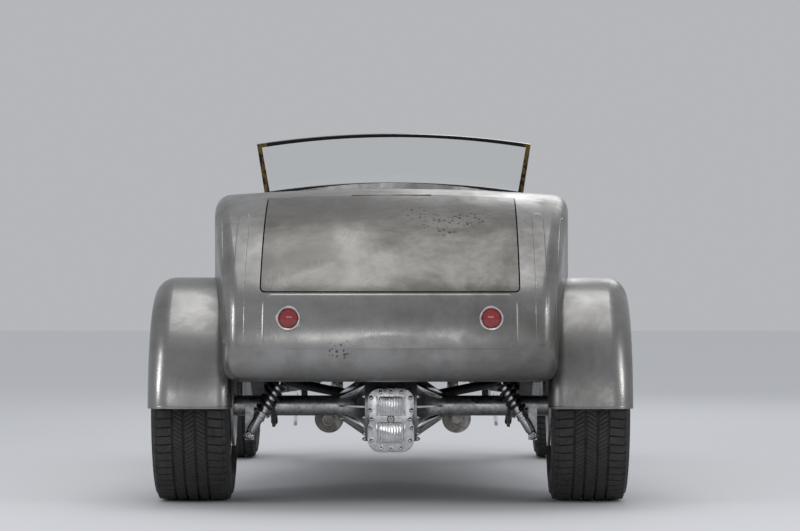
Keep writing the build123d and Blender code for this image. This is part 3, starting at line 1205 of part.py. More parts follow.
# ---------------------------------------------------------------- steering column, box and wheel
wheel_axis = Vector(0, cos(radians(COLUMN_SLOPE)), -sin(radians(COLUMN_SLOPE)))
wheel_centre = Vector(STEERING_X, STEERING_Y, STEERING_Z)
joint_point = Vector(*column_point(FIREWALL_Y + 45))
with BuildPart() as steering_column:
    rod(tuple(wheel_centre + wheel_axis * 34), tuple(joint_point), COLUMN_RADIUS)
    rod(tuple(wheel_centre - wheel_axis * 4), tuple(wheel_centre + wheel_axis * 36), 10)
    with Locations(tuple(joint_point)):
        Sphere(COLUMN_RADIUS + 3)
    rod(tuple(joint_point), (PITMAN_X, PITMAN_Y - 30, 440), 9)
    block(PITMAN_X - STEERING_BOX_HALF, PITMAN_X + STEERING_BOX_HALF, PITMAN_Y - 50, PITMAN_Y + 45,
          pitman_z + ARM_THICKNESS + FIT + 20, 470)
    rod((PITMAN_X, PITMAN_Y, pitman_z - 3), (PITMAN_X, PITMAN_Y, 330), 12)
    rod((PITMAN_X, PITMAN_Y, pitman_z + ARM_THICKNESS + FIT), (PITMAN_X, PITMAN_Y, 330), 20)
save(steering_column, "steering_column")

with BuildPart() as steering_wheel:
    wheel_plane = Plane(origin=tuple(wheel_centre), x_dir=(1, 0, 0), z_dir=tuple(wheel_axis))
    with Locations(wheel_plane):
        Torus(STEERING_WHEEL_RADIUS, STEERING_RIM_RADIUS)
    rod(tuple(wheel_centre - wheel_axis * 12), tuple(wheel_centre + wheel_axis * 30), 34)
    for angle in (90, 210, 330):
        out = wheel_plane.x_dir * cos(radians(angle)) + wheel_plane.y_dir * sin(radians(angle))
        rod(tuple(wheel_centre + out * 25), tuple(wheel_centre + out * (STEERING_WHEEL_RADIUS - 2)), 8)
    rod(tuple(wheel_centre - wheel_axis * 4.1), tuple(wheel_centre + wheel_axis * 40), 10 + RUN_FIT,
        mode=Mode.SUBTRACT)
save(steering_wheel, "steering_wheel")

# ---------------------------------------------------------------- lamps
with BuildPart() as taillights:
    face_y = TAIL_Y + TAILLIGHT_SET_IN
    rod((TAILLIGHT_X, face_y, TAILLIGHT_Z), (TAILLIGHT_X, face_y + 45, TAILLIGHT_Z), TAILLIGHT_RADIUS)
    lens_out, lens_up = dome_middle(LENS_RADIUS, LENS_RISE)
    with BuildSketch(Plane.XY.offset(TAILLIGHT_Z)) as lens:
        with BuildLine():
            Line((TAILLIGHT_X, face_y + 2), (TAILLIGHT_X, face_y - LENS_RISE))
            ThreePointArc((TAILLIGHT_X, face_y - LENS_RISE), (TAILLIGHT_X + lens_out, face_y - lens_up),
                          (TAILLIGHT_X + LENS_RADIUS, face_y))
            Polyline((TAILLIGHT_X + LENS_RADIUS, face_y), (TAILLIGHT_X + LENS_RADIUS, face_y + 2),
                     (TAILLIGHT_X, face_y + 2))
        make_face()
    revolve(lens.sketch, axis=Axis((TAILLIGHT_X, 0, TAILLIGHT_Z), (0, 1, 0)))
    add(outer, mode=Mode.SUBTRACT)
    on_both_sides()
save(taillights, "taillights")

with BuildPart() as headlights:
    bowl_radius = HEADLIGHT_RADIUS - 6
    bowl_out, bowl_back = dome_middle(bowl_radius, BOWL_DEPTH)
    glass_out, glass_up = dome_middle(HEADLIGHT_RADIUS, 18)
    rim_y = HEADLIGHT_Y + 12
    with BuildSketch(Plane.XY.offset(HEADLIGHT_Z)) as bowl:
        with BuildLine():
            Line((HEADLIGHT_X, rim_y + 18), (HEADLIGHT_X, HEADLIGHT_Y - BOWL_DEPTH))
            ThreePointArc((HEADLIGHT_X, HEADLIGHT_Y - BOWL_DEPTH),
                          (HEADLIGHT_X + bowl_out, HEADLIGHT_Y - bowl_back),
                          (HEADLIGHT_X + bowl_radius, HEADLIGHT_Y))
            Polyline((HEADLIGHT_X + bowl_radius, HEADLIGHT_Y),
                     (HEADLIGHT_X + HEADLIGHT_RADIUS, HEADLIGHT_Y), (HEADLIGHT_X + HEADLIGHT_RADIUS, rim_y))
            ThreePointArc((HEADLIGHT_X + HEADLIGHT_RADIUS, rim_y),
                          (HEADLIGHT_X + glass_out, rim_y + glass_up), (HEADLIGHT_X, rim_y + 18))
        make_face()
    revolve(bowl.sketch, axis=Axis((HEADLIGHT_X, 0, HEADLIGHT_Z), (0, 1, 0)))
    lamp_rail = rail_outer(HEADLIGHT_Y - 40) - RAIL_WIDTH / 2
    rod((lamp_rail, HEADLIGHT_Y - 40, rail_top(HEADLIGHT_Y - 40) + 8),
        (HEADLIGHT_X, HEADLIGHT_Y - 40, HEADLIGHT_Z - 60), 11)
    rod((lamp_rail, HEADLIGHT_Y - 40, rail_top(HEADLIGHT_Y - 40) + 9),
        (lamp_rail, HEADLIGHT_Y - 40, rail_top(HEADLIGHT_Y - 40) + 1), 20)
    on_both_sides()
save(headlights, "headlights")
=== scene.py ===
"""Street rod roadster dressed for looks: bare ground steel, black frame, polished axle parts.

Metres throughout. +Y is forward, +X the car's right, +Z up, and the floor is z = 0.
"""
from math import atan2, cos, hypot, pi, radians, sin, sqrt

import bpy
from mathutils import Matrix, Vector
from mathutils.bvhtree import BVHTree


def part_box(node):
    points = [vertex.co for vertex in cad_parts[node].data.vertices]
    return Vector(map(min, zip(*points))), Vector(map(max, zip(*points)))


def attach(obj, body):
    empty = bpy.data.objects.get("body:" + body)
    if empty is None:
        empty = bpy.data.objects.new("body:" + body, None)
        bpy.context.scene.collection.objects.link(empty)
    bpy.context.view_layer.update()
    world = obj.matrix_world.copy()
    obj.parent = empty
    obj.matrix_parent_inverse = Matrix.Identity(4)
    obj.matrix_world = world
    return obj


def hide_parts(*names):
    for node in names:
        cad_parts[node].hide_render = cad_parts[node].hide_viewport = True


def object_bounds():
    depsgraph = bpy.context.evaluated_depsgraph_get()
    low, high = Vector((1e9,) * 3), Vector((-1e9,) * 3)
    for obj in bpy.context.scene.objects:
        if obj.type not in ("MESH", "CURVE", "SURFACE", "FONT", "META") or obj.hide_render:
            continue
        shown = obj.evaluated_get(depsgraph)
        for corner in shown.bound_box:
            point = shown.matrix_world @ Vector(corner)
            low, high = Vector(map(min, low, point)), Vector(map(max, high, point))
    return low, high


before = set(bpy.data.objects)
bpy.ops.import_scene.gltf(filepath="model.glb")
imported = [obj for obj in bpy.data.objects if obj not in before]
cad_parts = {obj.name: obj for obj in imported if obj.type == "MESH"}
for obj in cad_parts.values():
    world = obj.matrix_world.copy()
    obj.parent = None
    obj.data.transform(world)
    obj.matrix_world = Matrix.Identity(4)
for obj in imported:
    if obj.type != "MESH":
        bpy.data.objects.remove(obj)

CAD_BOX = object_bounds()
bpy.ops.object.select_all(action="DESELECT")

# ------------------------------------------------------------------ places and sizes
REAR_Y = -1.1785
FRONT_Y = 1.5135
TAIL_Y = -1.8185
FIREWALL_Y = 0.8025
REAR_TYRE_RADIUS = 0.355
FRONT_TYRE_RADIUS = 0.305
REAR_HUB = Vector((0.735, REAR_Y, REAR_TYRE_RADIUS))
FRONT_HUB = Vector((0.715, FRONT_Y, FRONT_TYRE_RADIUS))
TAILLIGHT = Vector((0.362, TAIL_Y + 0.014, 0.693))
HEADLIGHT = Vector((0.372, REAR_Y + 2.790, 0.800))
COIL_FOOT = Vector((0.530, REAR_Y - 0.100, 0.250))
COIL_HEAD = Vector((0.358, REAR_Y - 0.100, 0.543))
STEERING = Vector((-0.340, REAR_Y + 1.165, 1.018))
STEERING_AXIS = Vector((0, cos(radians(25)), -sin(radians(25))))
REAR_RIM_RADIUS = 0.203
FRONT_RIM_RADIUS = 0.192
MIRROR = Matrix.Scale(-1, 4, Vector((1, 0, 0)))


# ------------------------------------------------------------------ node groups
def node_group(name, inputs, outputs):
    """Empty shader group with named sockets, and its two end nodes."""
    group = bpy.data.node_groups.new(name, "ShaderNodeTree")
    for socket, kind, value in inputs:
        made = group.interface.new_socket(name=socket, in_out="INPUT", socket_type=kind)
        if value is not None:
            made.default_value = value
    for socket, kind in outputs:
        group.interface.new_socket(name=socket, in_out="OUTPUT", socket_type=kind)
    return group, group.nodes.new("NodeGroupInput"), group.nodes.new("NodeGroupOutput")


def node(tree, kind, **settings):
    """New node with its settings; a key that names an input sets that input."""
    made = tree.nodes.new(kind)
    for key, value in settings.items():
        if hasattr(made, key):
            setattr(made, key, value)
        else:
            made.inputs[key.replace("_", " ")].default_value = value
    return made


def maths(tree, operation, first, second=None, clamp=False):
    """Math node on sockets or numbers."""
    made = tree.nodes.new("ShaderNodeMath")
    made.operation = operation
    made.use_clamp = clamp
    for index, value in enumerate((first, second)):
        if value is None:
            continue
        if isinstance(value, (int, float)):
            made.inputs[index].default_value = value
        else:
            tree.links.new(value, made.inputs[index])
    return made.outputs[0]


def ramp(tree, value, low, high):
    """Smooth step of a socket from low to high."""
    made = tree.nodes.new("ShaderNodeMapRange")
    made.interpolation_type = "SMOOTHSTEP"
    made.inputs["From Min"].default_value = low
    made.inputs["From Max"].default_value = high
    tree.links.new(value, made.inputs["Value"])
    return made.outputs["Result"]


def noise(tree, vector, scale, detail=4.0, roughness=0.55, distortion=0.0):
    """Noise texture read at a vector."""
    made = tree.nodes.new("ShaderNodeTexNoise")
    made.inputs["Scale"].default_value = scale
    made.inputs["Detail"].default_value = detail
    made.inputs["Roughness"].default_value = roughness
    made.inputs["Distortion"].default_value = distortion
    tree.links.new(vector, made.inputs["Vector"])
    return made.outputs["Fac"]


def make_cloud_group():
    """Cloudy patches: a value from 0 to 1 at two sizes."""
    group, ends, out = node_group("cloudy_patches", [("Vector", "NodeSocketVector", None),
                                                     ("Scale", "NodeSocketFloat", 3.0)],
                                  [("Cloud", "NodeSocketFloat"), ("Fine", "NodeSocketFloat")])
    scaled = node(group, "ShaderNodeVectorMath", operation="SCALE")
    group.links.new(ends.outputs["Vector"], scaled.inputs[0])
    group.links.new(ends.outputs["Scale"], scaled.inputs["Scale"])
    large = noise(group, scaled.outputs[0], 1.0, 5.0, 0.62, 0.8)
    small = noise(group, scaled.outputs[0], 7.0, 6.0, 0.65, 0.3)
    group.links.new(ramp(group, large, 0.36, 0.66), out.inputs["Cloud"])
    group.links.new(ramp(group, small, 0.3, 0.72), out.inputs["Fine"])
    return group


def make_swirl_group():
    """Marks of a hand grinder: short strokes whose direction changes from patch to patch."""
    group, ends, out = node_group("grinding_swirls", [("Vector", "NodeSocketVector", None),
                                                      ("Patch", "NodeSocketFloat", 9.0),
                                                      ("Stroke", "NodeSocketFloat", 260.0)],
                                  [("Strokes", "NodeSocketFloat"), ("Patches", "NodeSocketFloat")])
    wander = node(group, "ShaderNodeTexNoise", Scale=6.0, Detail=3.0)
    group.links.new(ends.outputs["Vector"], wander.inputs["Vector"])
    push = node(group, "ShaderNodeVectorMath", operation="MULTIPLY_ADD")
    push.inputs[1].default_value = (0.16, 0.16, 0.16)
    group.links.new(wander.outputs["Color"], push.inputs[0])
    group.links.new(ends.outputs["Vector"], push.inputs[2])
    cells = node(group, "ShaderNodeTexVoronoi", feature="SMOOTH_F1", Smoothness=0.6)
    group.links.new(push.outputs[0], cells.inputs["Vector"])
    group.links.new(ends.outputs["Patch"], cells.inputs["Scale"])
    angle = node(group, "ShaderNodeVectorMath", operation="SCALE", Scale=9.0)
    group.links.new(cells.outputs["Color"], angle.inputs[0])
    turn = node(group, "ShaderNodeVectorRotate", rotation_type="EULER_XYZ")
    group.links.new(ends.outputs["Vector"], turn.inputs["Vector"])
    group.links.new(angle.outputs[0], turn.inputs["Rotation"])
    stretch = node(group, "ShaderNodeVectorMath", operation="MULTIPLY")
    stretch.inputs[1].default_value = (1.0, 0.045, 0.045)
    group.links.new(turn.outputs[0], stretch.inputs[0])
    strokes = node(group, "ShaderNodeTexNoise", Detail=3.0, Roughness=0.7)
    group.links.new(stretch.outputs[0], strokes.inputs["Vector"])
    group.links.new(ends.outputs["Stroke"], strokes.inputs["Scale"])
    group.links.new(strokes.outputs["Fac"], out.inputs["Strokes"])
    tone = node(group, "ShaderNodeSeparateColor")
    group.links.new(cells.outputs["Color"], tone.inputs[0])
    group.links.new(tone.outputs[0], out.inputs["Patches"])
    return group


def make_spot_group():
    """Dried water spots inside a ball round a point."""
    group, ends, out = node_group("water_spots", [("Vector", "NodeSocketVector", None),
                                                  ("Centre", "NodeSocketVector", (0, 0, 0)),
                                                  ("Reach", "NodeSocketFloat", 0.15),
                                                  ("Scale", "NodeSocketFloat", 60.0)],
                                  [("Spots", "NodeSocketFloat")])
    away = node(group, "ShaderNodeVectorMath", operation="DISTANCE")
    group.links.new(ends.outputs["Vector"], away.inputs[0])
    group.links.new(ends.outputs["Centre"], away.inputs[1])
    share = maths(group, "DIVIDE", away.outputs["Value"], ends.outputs["Reach"])
    wobble = noise(group, ends.outputs["Vector"], 22.0, 3.0)
    near = maths(group, "ADD", share, maths(group, "MULTIPLY", wobble, 0.9))
    inside = maths(group, "SUBTRACT", 1.0, ramp(group, near, 0.9, 1.4))
    cells = node(group, "ShaderNodeTexVoronoi", feature="F1")
    group.links.new(ends.outputs["Vector"], cells.inputs["Vector"])
    group.links.new(ends.outputs["Scale"], cells.inputs["Scale"])
    size = node(group, "ShaderNodeSeparateColor")
    group.links.new(cells.outputs["Color"], size.inputs[0])
    edge = maths(group, "SUBTRACT", maths(group, "MULTIPLY", size.outputs[0], 0.55),
                 cells.outputs["Distance"])
    group.links.new(maths(group, "MULTIPLY", ramp(group, edge, 0.0, 0.12), inside),
                    out.inputs["Spots"])
    return group


CLOUDS = make_cloud_group()
SWIRLS = make_swirl_group()
SPOTS = make_spot_group()


# ------------------------------------------------------------------ materials
class Finish:
    """One material being made: its tree, its shader and its Object coordinates."""

    def __init__(self, name, colour, metallic, roughness):
        self.material = bpy.data.materials.new(name)
        self.material.use_nodes = True
        self.tree = self.material.node_tree
        self.shader = self.tree.nodes["Principled BSDF"]
        self.shader.inputs["Base Color"].default_value = (*colour, 1)
        self.shader.inputs["Metallic"].default_value = metallic
        self.shader.inputs["Roughness"].default_value = roughness
        self.place = self.tree.nodes.new("ShaderNodeTexCoord").outputs["Object"]

    def link(self, value, socket):
        self.tree.links.new(value, self.shader.inputs[socket])

    def group(self, group, **values):
        made = self.tree.nodes.new("ShaderNodeGroup")
        made.node_tree = group
        self.tree.links.new(self.place, made.inputs["Vector"])
        for key, value in values.items():
            made.inputs[key].default_value = value
        return made

    def mix(self, share, first, second):
        """Colour between two colours, which are sockets or triples."""
        made = self.tree.nodes.new("ShaderNodeMix")
        made.data_type = "RGBA"
        self.tree.links.new(share, made.inputs["Factor"])
        for value, socket in ((first, made.inputs[6]), (second, made.inputs[7])):
            if isinstance(value, tuple):
                socket.default_value = (*value, 1)
            else:
                self.tree.links.new(value, socket)
        return made.outputs[2]

    def between(self, share, low, high):
        made = self.tree.nodes.new("ShaderNodeMapRange")
        made.inputs["To Min"].default_value = low
        made.inputs["To Max"].default_value = high
        self.tree.links.new(share, made.inputs["Value"])
        return made.outputs["Result"]

    def bump(self, height, distance, strength=1.0, under=None):
        made = self.tree.nodes.new("ShaderNodeBump")
        made.inputs["Distance"].default_value = distance
        made.inputs["Strength"].default_value = strength
        self.tree.links.new(height, made.inputs["Height"])
        if under is not None:
            self.tree.links.new(under, made.inputs["Normal"])
        return made.outputs["Normal"]


def ground_steel(name, light, dark, stains=0.0, spots=()):
    """Unpainted sheet steel, ground by hand: swirls, cloudy patches, stains and water spots."""
    finish = Finish(name, light, 1.0, 0.38)
    tree = finish.tree
    clouds = finish.group(CLOUDS, Scale=3.2)
    swirls = finish.group(SWIRLS, Patch=8.0, Stroke=300.0)
    broad = finish.group(CLOUDS, Scale=1.3)
    tone = maths(tree, "MULTIPLY", clouds.outputs["Cloud"], 0.38)
    tone = maths(tree, "ADD", tone, maths(tree, "MULTIPLY", broad.outputs["Cloud"], 0.30))
    tone = maths(tree, "ADD", tone, maths(tree, "MULTIPLY", swirls.outputs["Patches"], 0.18))
    tone = maths(tree, "ADD", tone,
                 maths(tree, "MULTIPLY", swirls.outputs["Strokes"], 0.16), clamp=True)
    colour = finish.mix(tone, light, dark)
    rough = finish.between(tone, 0.20, 0.42)
    rough = maths(tree, "ADD", rough,
                  maths(tree, "MULTIPLY",
                        maths(tree, "SUBTRACT", swirls.outputs["Strokes"], 0.5), 0.30))
    if stains:
        stain = maths(tree, "MULTIPLY", clouds.outputs["Fine"], broad.outputs["Cloud"])
        stain = maths(tree, "MULTIPLY", stain, stains)
        colour = finish.mix(stain, colour, (0.095, 0.082, 0.066))
        rough = maths(tree, "ADD", rough, maths(tree, "MULTIPLY", stain, 0.18))
    for centre, reach, scale in spots:
        marks = finish.group(SPOTS, Centre=centre, Reach=reach, Scale=scale)
        colour = finish.mix(maths(tree, "MULTIPLY", marks.outputs["Spots"], 0.8), colour,
                            (0.060, 0.050, 0.042))
        rough = maths(tree, "ADD", rough, maths(tree, "MULTIPLY", marks.outputs["Spots"], 0.2))
    finish.link(colour, "Base Color")
    finish.link(rough, "Roughness")
    dents = noise(tree, finish.place, 5.0, 2.0)
    wavy = finish.bump(dents, 0.0035, 0.35)
    finish.link(finish.bump(swirls.outputs["Strokes"], 0.00012, 0.55, wavy), "Normal")
    return finish.material


def plain_finish(name, colour, metallic, roughness, wear=0.12, grain=0.0, grain_scale=900.0,
                 shade=0.6, **sockets):
    """Finish with faint cloudy wear in its colour and gloss and, where asked, a fine grain."""
    finish = Finish(name, colour, metallic, roughness)
    tree = finish.tree
    clouds = finish.group(CLOUDS, Scale=9.0)
    finish.link(finish.mix(clouds.outputs["Fine"], colour, tuple(c * shade for c in colour)),
                "Base Color")
    finish.link(finish.between(clouds.outputs["Cloud"], max(roughness - wear, 0.03),
                               roughness + wear), "Roughness")
    if grain:
        finish.link(finish.bump(noise(tree, finish.place, grain_scale, 3.0), grain, 0.6), "Normal")
    for socket, value in sockets.items():
        finish.shader.inputs[socket.replace("_", " ")].default_value = value
    return finish.material


def tyre_finish():
    """Black tyre rubber with a dusty tread and a fine grain."""
    finish = Finish("tyre_rubber", (0.018, 0.018, 0.019), 0.0, 0.72)
    tree = finish.tree
    clouds = finish.group(CLOUDS, Scale=14.0)
    colour = finish.mix(clouds.outputs["Fine"], (0.016, 0.016, 0.017), (0.034, 0.033, 0.031))
    finish.link(colour, "Base Color")
    finish.link(finish.between(clouds.outputs["Cloud"], 0.58, 0.85), "Roughness")
    finish.link(finish.bump(noise(tree, finish.place, 700.0, 3.0), 0.0003, 0.5), "Normal")
    return finish.material


def leather_finish():
    """Dark oxblood leather with pores, creases and worn high spots."""
    finish = Finish("seat_leather", (0.085, 0.030, 0.020), 0.0, 0.45)
    tree = finish.tree
    clouds = finish.group(CLOUDS, Scale=6.0)
    finish.link(finish.mix(clouds.outputs["Cloud"], (0.100, 0.036, 0.022), (0.055, 0.020, 0.014)),
                "Base Color")
    finish.link(finish.between(clouds.outputs["Fine"], 0.34, 0.56), "Roughness")
    pores = node(tree, "ShaderNodeTexVoronoi", feature="DISTANCE_TO_EDGE", Scale=420.0)
    tree.links.new(finish.place, pores.inputs["Vector"])
    creases = finish.bump(clouds.outputs["Fine"], 0.002, 0.25)
    finish.link(finish.bump(ramp(tree, pores.outputs["Distance"], 0.0, 0.12), 0.0004, 0.6,
                            creases), "Normal")
    return finish.material


def carpet_finish():
    """Short black loops."""
    finish = Finish("floor_carpet", (0.02, 0.02, 0.021), 0.0, 0.95)
    tree = finish.tree
    loops = noise(tree, finish.place, 420.0, 2.0)
    finish.link(finish.mix(ramp(tree, loops, 0.35, 0.65), (0.008, 0.008, 0.009),
                           (0.034, 0.033, 0.032)), "Base Color")
    finish.link(finish.bump(loops, 0.003, 0.8), "Normal")
    return finish.material


def screen_frame_finish():
    """Black lacquer rubbed through to brass at the corners and down the legs."""
    finish = Finish("black_over_brass", (0.01, 0.01, 0.01), 0.0, 0.25)
    tree = finish.tree
    parts = node(tree, "ShaderNodeSeparateXYZ")
    tree.links.new(finish.place, parts.inputs[0])
    out = maths(tree, "ABSOLUTE", parts.outputs["X"])
    legs = ramp(tree, out, 0.528, 0.545)
    rubbed = noise(tree, finish.place, 34.0, 5.0, 0.7)
    brass = maths(tree, "MULTIPLY", legs, ramp(tree, rubbed, 0.44, 0.56))
    finish.link(finish.mix(brass, (0.010, 0.010, 0.010), (0.42, 0.27, 0.085)), "Base Color")
    finish.link(finish.between(brass, 0.0, 1.0), "Metallic")
    finish.link(finish.between(rubbed, 0.16, 0.34), "Roughness")
    return finish.material


def glass_finish(name, colour, roughness):
    """Clear glass with faint smudges in its gloss."""
    finish = Finish(name, colour, 0.0, roughness)
    finish.shader.inputs["Transmission Weight"].default_value = 1.0
    finish.shader.inputs["IOR"].default_value = 1.46
    smudge = noise(finish.tree, finish.place, 9.0, 5.0)
    finish.link(finish.between(smudge, max(roughness - 0.01, 0.0), roughness + 0.03), "Roughness")
    return finish.material


DECK_SPOTS = (((0.20, -1.42, 1.05), 0.13, 55.0), ((0.30, -1.36, 1.06), 0.11, 70.0),
              ((0.10, -1.33, 1.085), 0.10, 62.0))
TAIL_SPOTS = (((-0.17, -1.80, 0.585), 0.06, 75.0),)

steel_body = ground_steel("ground_steel_body", (0.40, 0.395, 0.385), (0.15, 0.147, 0.141),
                          0.32, TAIL_SPOTS)
# The deck lid is the same bare steel as the body. Its darker light and dark colours are painted
# shade: a dark reflection painted into the colour, not a darker metal.
painted_shade_lid_steel = ground_steel("ground_steel_lid_painted_shade", (0.225, 0.219, 0.208), (0.088, 0.083, 0.075),
                         0.40, DECK_SPOTS)
steel_fender = ground_steel("ground_steel_fender", (0.39, 0.385, 0.375), (0.15, 0.147, 0.141), 0.2)
black_paint = plain_finish("satin_black", (0.012, 0.012, 0.013), 0.0, 0.42, 0.1, 0.0002, 600.0)
chrome = plain_finish("chrome_plate", (0.78, 0.78, 0.79), 1.0, 0.09, 0.05, shade=0.85)
polished = plain_finish("polished_aluminium", (0.66, 0.66, 0.67), 1.0, 0.22, 0.09, 0.00006,
                        500.0, shade=0.7)
cast_alloy = plain_finish("cast_aluminium", (0.52, 0.52, 0.52), 1.0, 0.38, 0.12, 0.0005,
                          420.0, shade=0.55)
iron = plain_finish("cast_iron", (0.055, 0.055, 0.058), 0.6, 0.55, 0.12, 0.0006, 380.0)
engine_paint = plain_finish("engine_enamel", (0.10, 0.012, 0.010), 0.0, 0.32, 0.1, 0.0004, 300.0)
rubber = tyre_finish()
leather = leather_finish()
carpet = carpet_finish()
screen_frame = screen_frame_finish()
clear_glass = glass_finish("clear_glass", (0.97, 0.985, 0.98), 0.0)
lamp_glass = glass_finish("lamp_glass", (0.98, 0.98, 0.97), 0.02)
red_lens = plain_finish("red_lens", (0.27, 0.005, 0.007), 0.0, 0.12, 0.05, shade=0.6,
                        Coat_Weight=1.0, Coat_Roughness=0.04)
dark_well = plain_finish("dark_well", (0.012, 0.010, 0.010), 0.0, 0.5)
filter_paper = plain_finish("filter_paper", (0.42, 0.33, 0.20), 0.0, 0.85, shade=0.8)
bakelite = plain_finish("black_bakelite", (0.010, 0.010, 0.011), 0.0, 0.2, 0.08, Coat_Weight=0.5)
gauge_face = plain_finish("gauge_face", (0.62, 0.58, 0.47), 0.0, 0.5, shade=0.9)
gauge_ink = plain_finish("gauge_ink", (0.01, 0.01, 0.01), 0.0, 0.5)
coil_paint = plain_finish("spring_enamel", (0.016, 0.016, 0.017), 0.0, 0.3, 0.1)
exhaust_steel = plain_finish("exhaust_steel", (0.42, 0.40, 0.37), 1.0, 0.34, 0.12, 0.0001,
                             400.0, shade=0.6)


def dress(node_names, material):
    """Gives CAD nodes a material."""
    for name in node_names.split():
        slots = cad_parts[name].data.materials
        slots.clear()
        slots.append(material)


dress("body_tub cowl door_left door_right hood_left hood_right hood_sides grille_shell", steel_body)
dress("decklid", painted_shade_lid_steel)
dress("rear_fender_left rear_fender_right front_fender_left front_fender_right", steel_fender)
dress("frame_rails ladder_bars dashboard", black_paint)
dress("rear_axle", cast_alloy)
dress("floor_pan", carpet)
dress("hood_hinge grille front_axle front_spring hairpins tie_rod drag_link steering_column",
      chrome)
dress("exhausts", exhaust_steel)
dress("rear_wheel_left rear_wheel_right front_wheel_left front_wheel_right", polished)
dress("quick_change_cover coil_overs radiator", cast_alloy)
dress("knuckle_left knuckle_right pitman_arm engine", iron)
dress("windshield_frame", screen_frame)
dress("windshield_glass", clear_glass)
dress("steering_wheel", bakelite)
dress("taillights", red_lens)
dress("headlights", chrome)
dress("seat_cushion seat_back", leather)
dress("rear_tyre_left rear_tyre_right front_tyre_left front_tyre_right", rubber)

# ------------------------------------------------------------------ modelling helpers
def fresh(name):
    """Names the object that an operator has just made."""
    made = bpy.context.active_object
    made.name = name
    made.data.name = name
    return made


def only(piece):
    """Makes a piece the only selected one, and active."""
    bpy.ops.object.select_all(action="DESELECT")
    piece.select_set(True)
    bpy.context.view_layer.objects.active = piece


def settle(piece):
    """Puts a piece's place into its mesh."""
    piece.data.transform(piece.matrix_world)
    piece.matrix_world = Matrix.Identity(4)
    return piece


def smooth(piece, angle=35):
    """Smooth shading up to an angle in degrees."""
    only(piece)
    bpy.ops.object.shade_smooth_by_angle(angle=radians(angle))
    return piece


def apply_all(piece):
    """Applies a piece's modifiers in order."""
    only(piece)
    for modifier in list(piece.modifiers):
        bpy.ops.object.modifier_apply(modifier=modifier.name)
    return piece


def closed_up(piece, gap=1e-5):
    """Merges doubles, drops loose bits and turns every face outwards."""
    only(piece)
    bpy.ops.object.mode_set(mode="EDIT")
    bpy.ops.mesh.select_all(action="SELECT")
    bpy.ops.mesh.remove_doubles(threshold=gap)
    bpy.ops.mesh.delete_loose()
    bpy.ops.mesh.select_all(action="SELECT")
    bpy.ops.mesh.normals_make_consistent(inside=False)
    bpy.ops.object.mode_set(mode="OBJECT")
    return piece


def turned(name, profile, centre, axis, steps=48, angle=35):
    """Closed outline of (along the axis, out from it) points, spun round the axis."""
    axis = Vector(axis).normalized()
    out = axis.orthogonal().normalized()
    if abs(axis.x) > 0.9:
        out = Vector((0, 0, 1))
    bpy.ops.object.select_all(action="DESELECT")
    bpy.ops.mesh.primitive_circle_add(vertices=len(profile))
    piece = fresh(name)
    for vertex, (along, away) in zip(piece.data.vertices, profile):
        vertex.co = axis * along + out * away
    bpy.ops.object.mode_set(mode="EDIT")
    bpy.ops.mesh.select_all(action="SELECT")
    bpy.ops.mesh.spin(steps=steps, angle=2 * pi, center=(0, 0, 0), axis=axis)
    bpy.ops.object.mode_set(mode="OBJECT")
    closed_up(piece)
    piece.data.transform(Matrix.Translation(Vector(centre)))
    return smooth(piece, angle)


def slab(name, low, high, bevel=0.0, segments=2, matrix=None, angle=35):
    """Block between two corners with its edges rounded."""
    low, high = Vector(low), Vector(high)
    bpy.ops.object.select_all(action="DESELECT")
    bpy.ops.mesh.primitive_cube_add(size=1)
    piece = fresh(name)
    piece.data.transform(Matrix.Translation((low + high) / 2) @ Matrix.Diagonal((*(high - low), 1)))
    if bevel:
        bpy.ops.object.mode_set(mode="EDIT")
        bpy.ops.mesh.select_all(action="SELECT")
        bpy.ops.mesh.bevel(offset=bevel, segments=segments, affect="EDGES")
        bpy.ops.object.mode_set(mode="OBJECT")
    if matrix is not None:
        piece.data.transform(matrix)
    return smooth(piece, angle)


def tube(name, points, radius, sides=10, closed=False, smooth_line=False):
    """Round bar along points."""
    curve = bpy.data.curves.new(name, "CURVE")
    curve.dimensions = "3D"
    spline = curve.splines.new("NURBS" if smooth_line else "POLY")
    spline.points.add(len(points) - 1)
    for target, point in zip(spline.points, points):
        target.co = (*point, 1)
    spline.use_cyclic_u = closed
    if smooth_line:
        spline.order_u = 3
        spline.use_endpoint_u = True
    curve.bevel_depth = radius
    curve.bevel_resolution = max(sides // 4 - 1, 0)
    curve.use_fill_caps = not closed
    made = bpy.data.objects.new(name, curve)
    bpy.context.scene.collection.objects.link(made)
    only(made)
    bpy.ops.object.convert(target="MESH")
    piece = closed_up(fresh(name))
    return smooth(piece, 60)


def copied(piece, matrix, name=None):
    """Copy with its own mesh, moved by a matrix."""
    made = piece.copy()
    made.data = piece.data.copy()
    if name:
        made.name = name
        made.data.name = name
    bpy.context.scene.collection.objects.link(made)
    made.data.transform(matrix)
    if matrix.determinant() < 0:
        made.data.flip_normals()
    return made


def joined(name, pieces):
    """One object of several, named afresh."""
    bpy.ops.object.select_all(action="DESELECT")
    for piece in pieces:
        piece.select_set(True)
    bpy.context.view_layer.objects.active = pieces[0]
    if len(pieces) > 1:
        bpy.ops.object.join()
    return fresh(name)


def finish_piece(piece, material, body, replaces=()):
    """Gives a piece its material, its body and what it stands for."""
    piece.data.materials.clear()
    piece.data.materials.append(material)
    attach(piece, body)
    if replaces:
        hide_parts(*replaces)
    return piece


def mirrored_pair(piece, stem, material, bodies, replaces=None):
    """A right-hand piece and its mirror image."""
    left = copied(piece, MIRROR, stem + "_left")
    piece.name = stem + "_right"
    piece.data.name = piece.name
    for made, side, body in ((left, "left", bodies[0]), (piece, "right", bodies[1])):
        finish_piece(made, material, body, (f"{replaces}_{side}",) if replaces else ())
    return left, piece


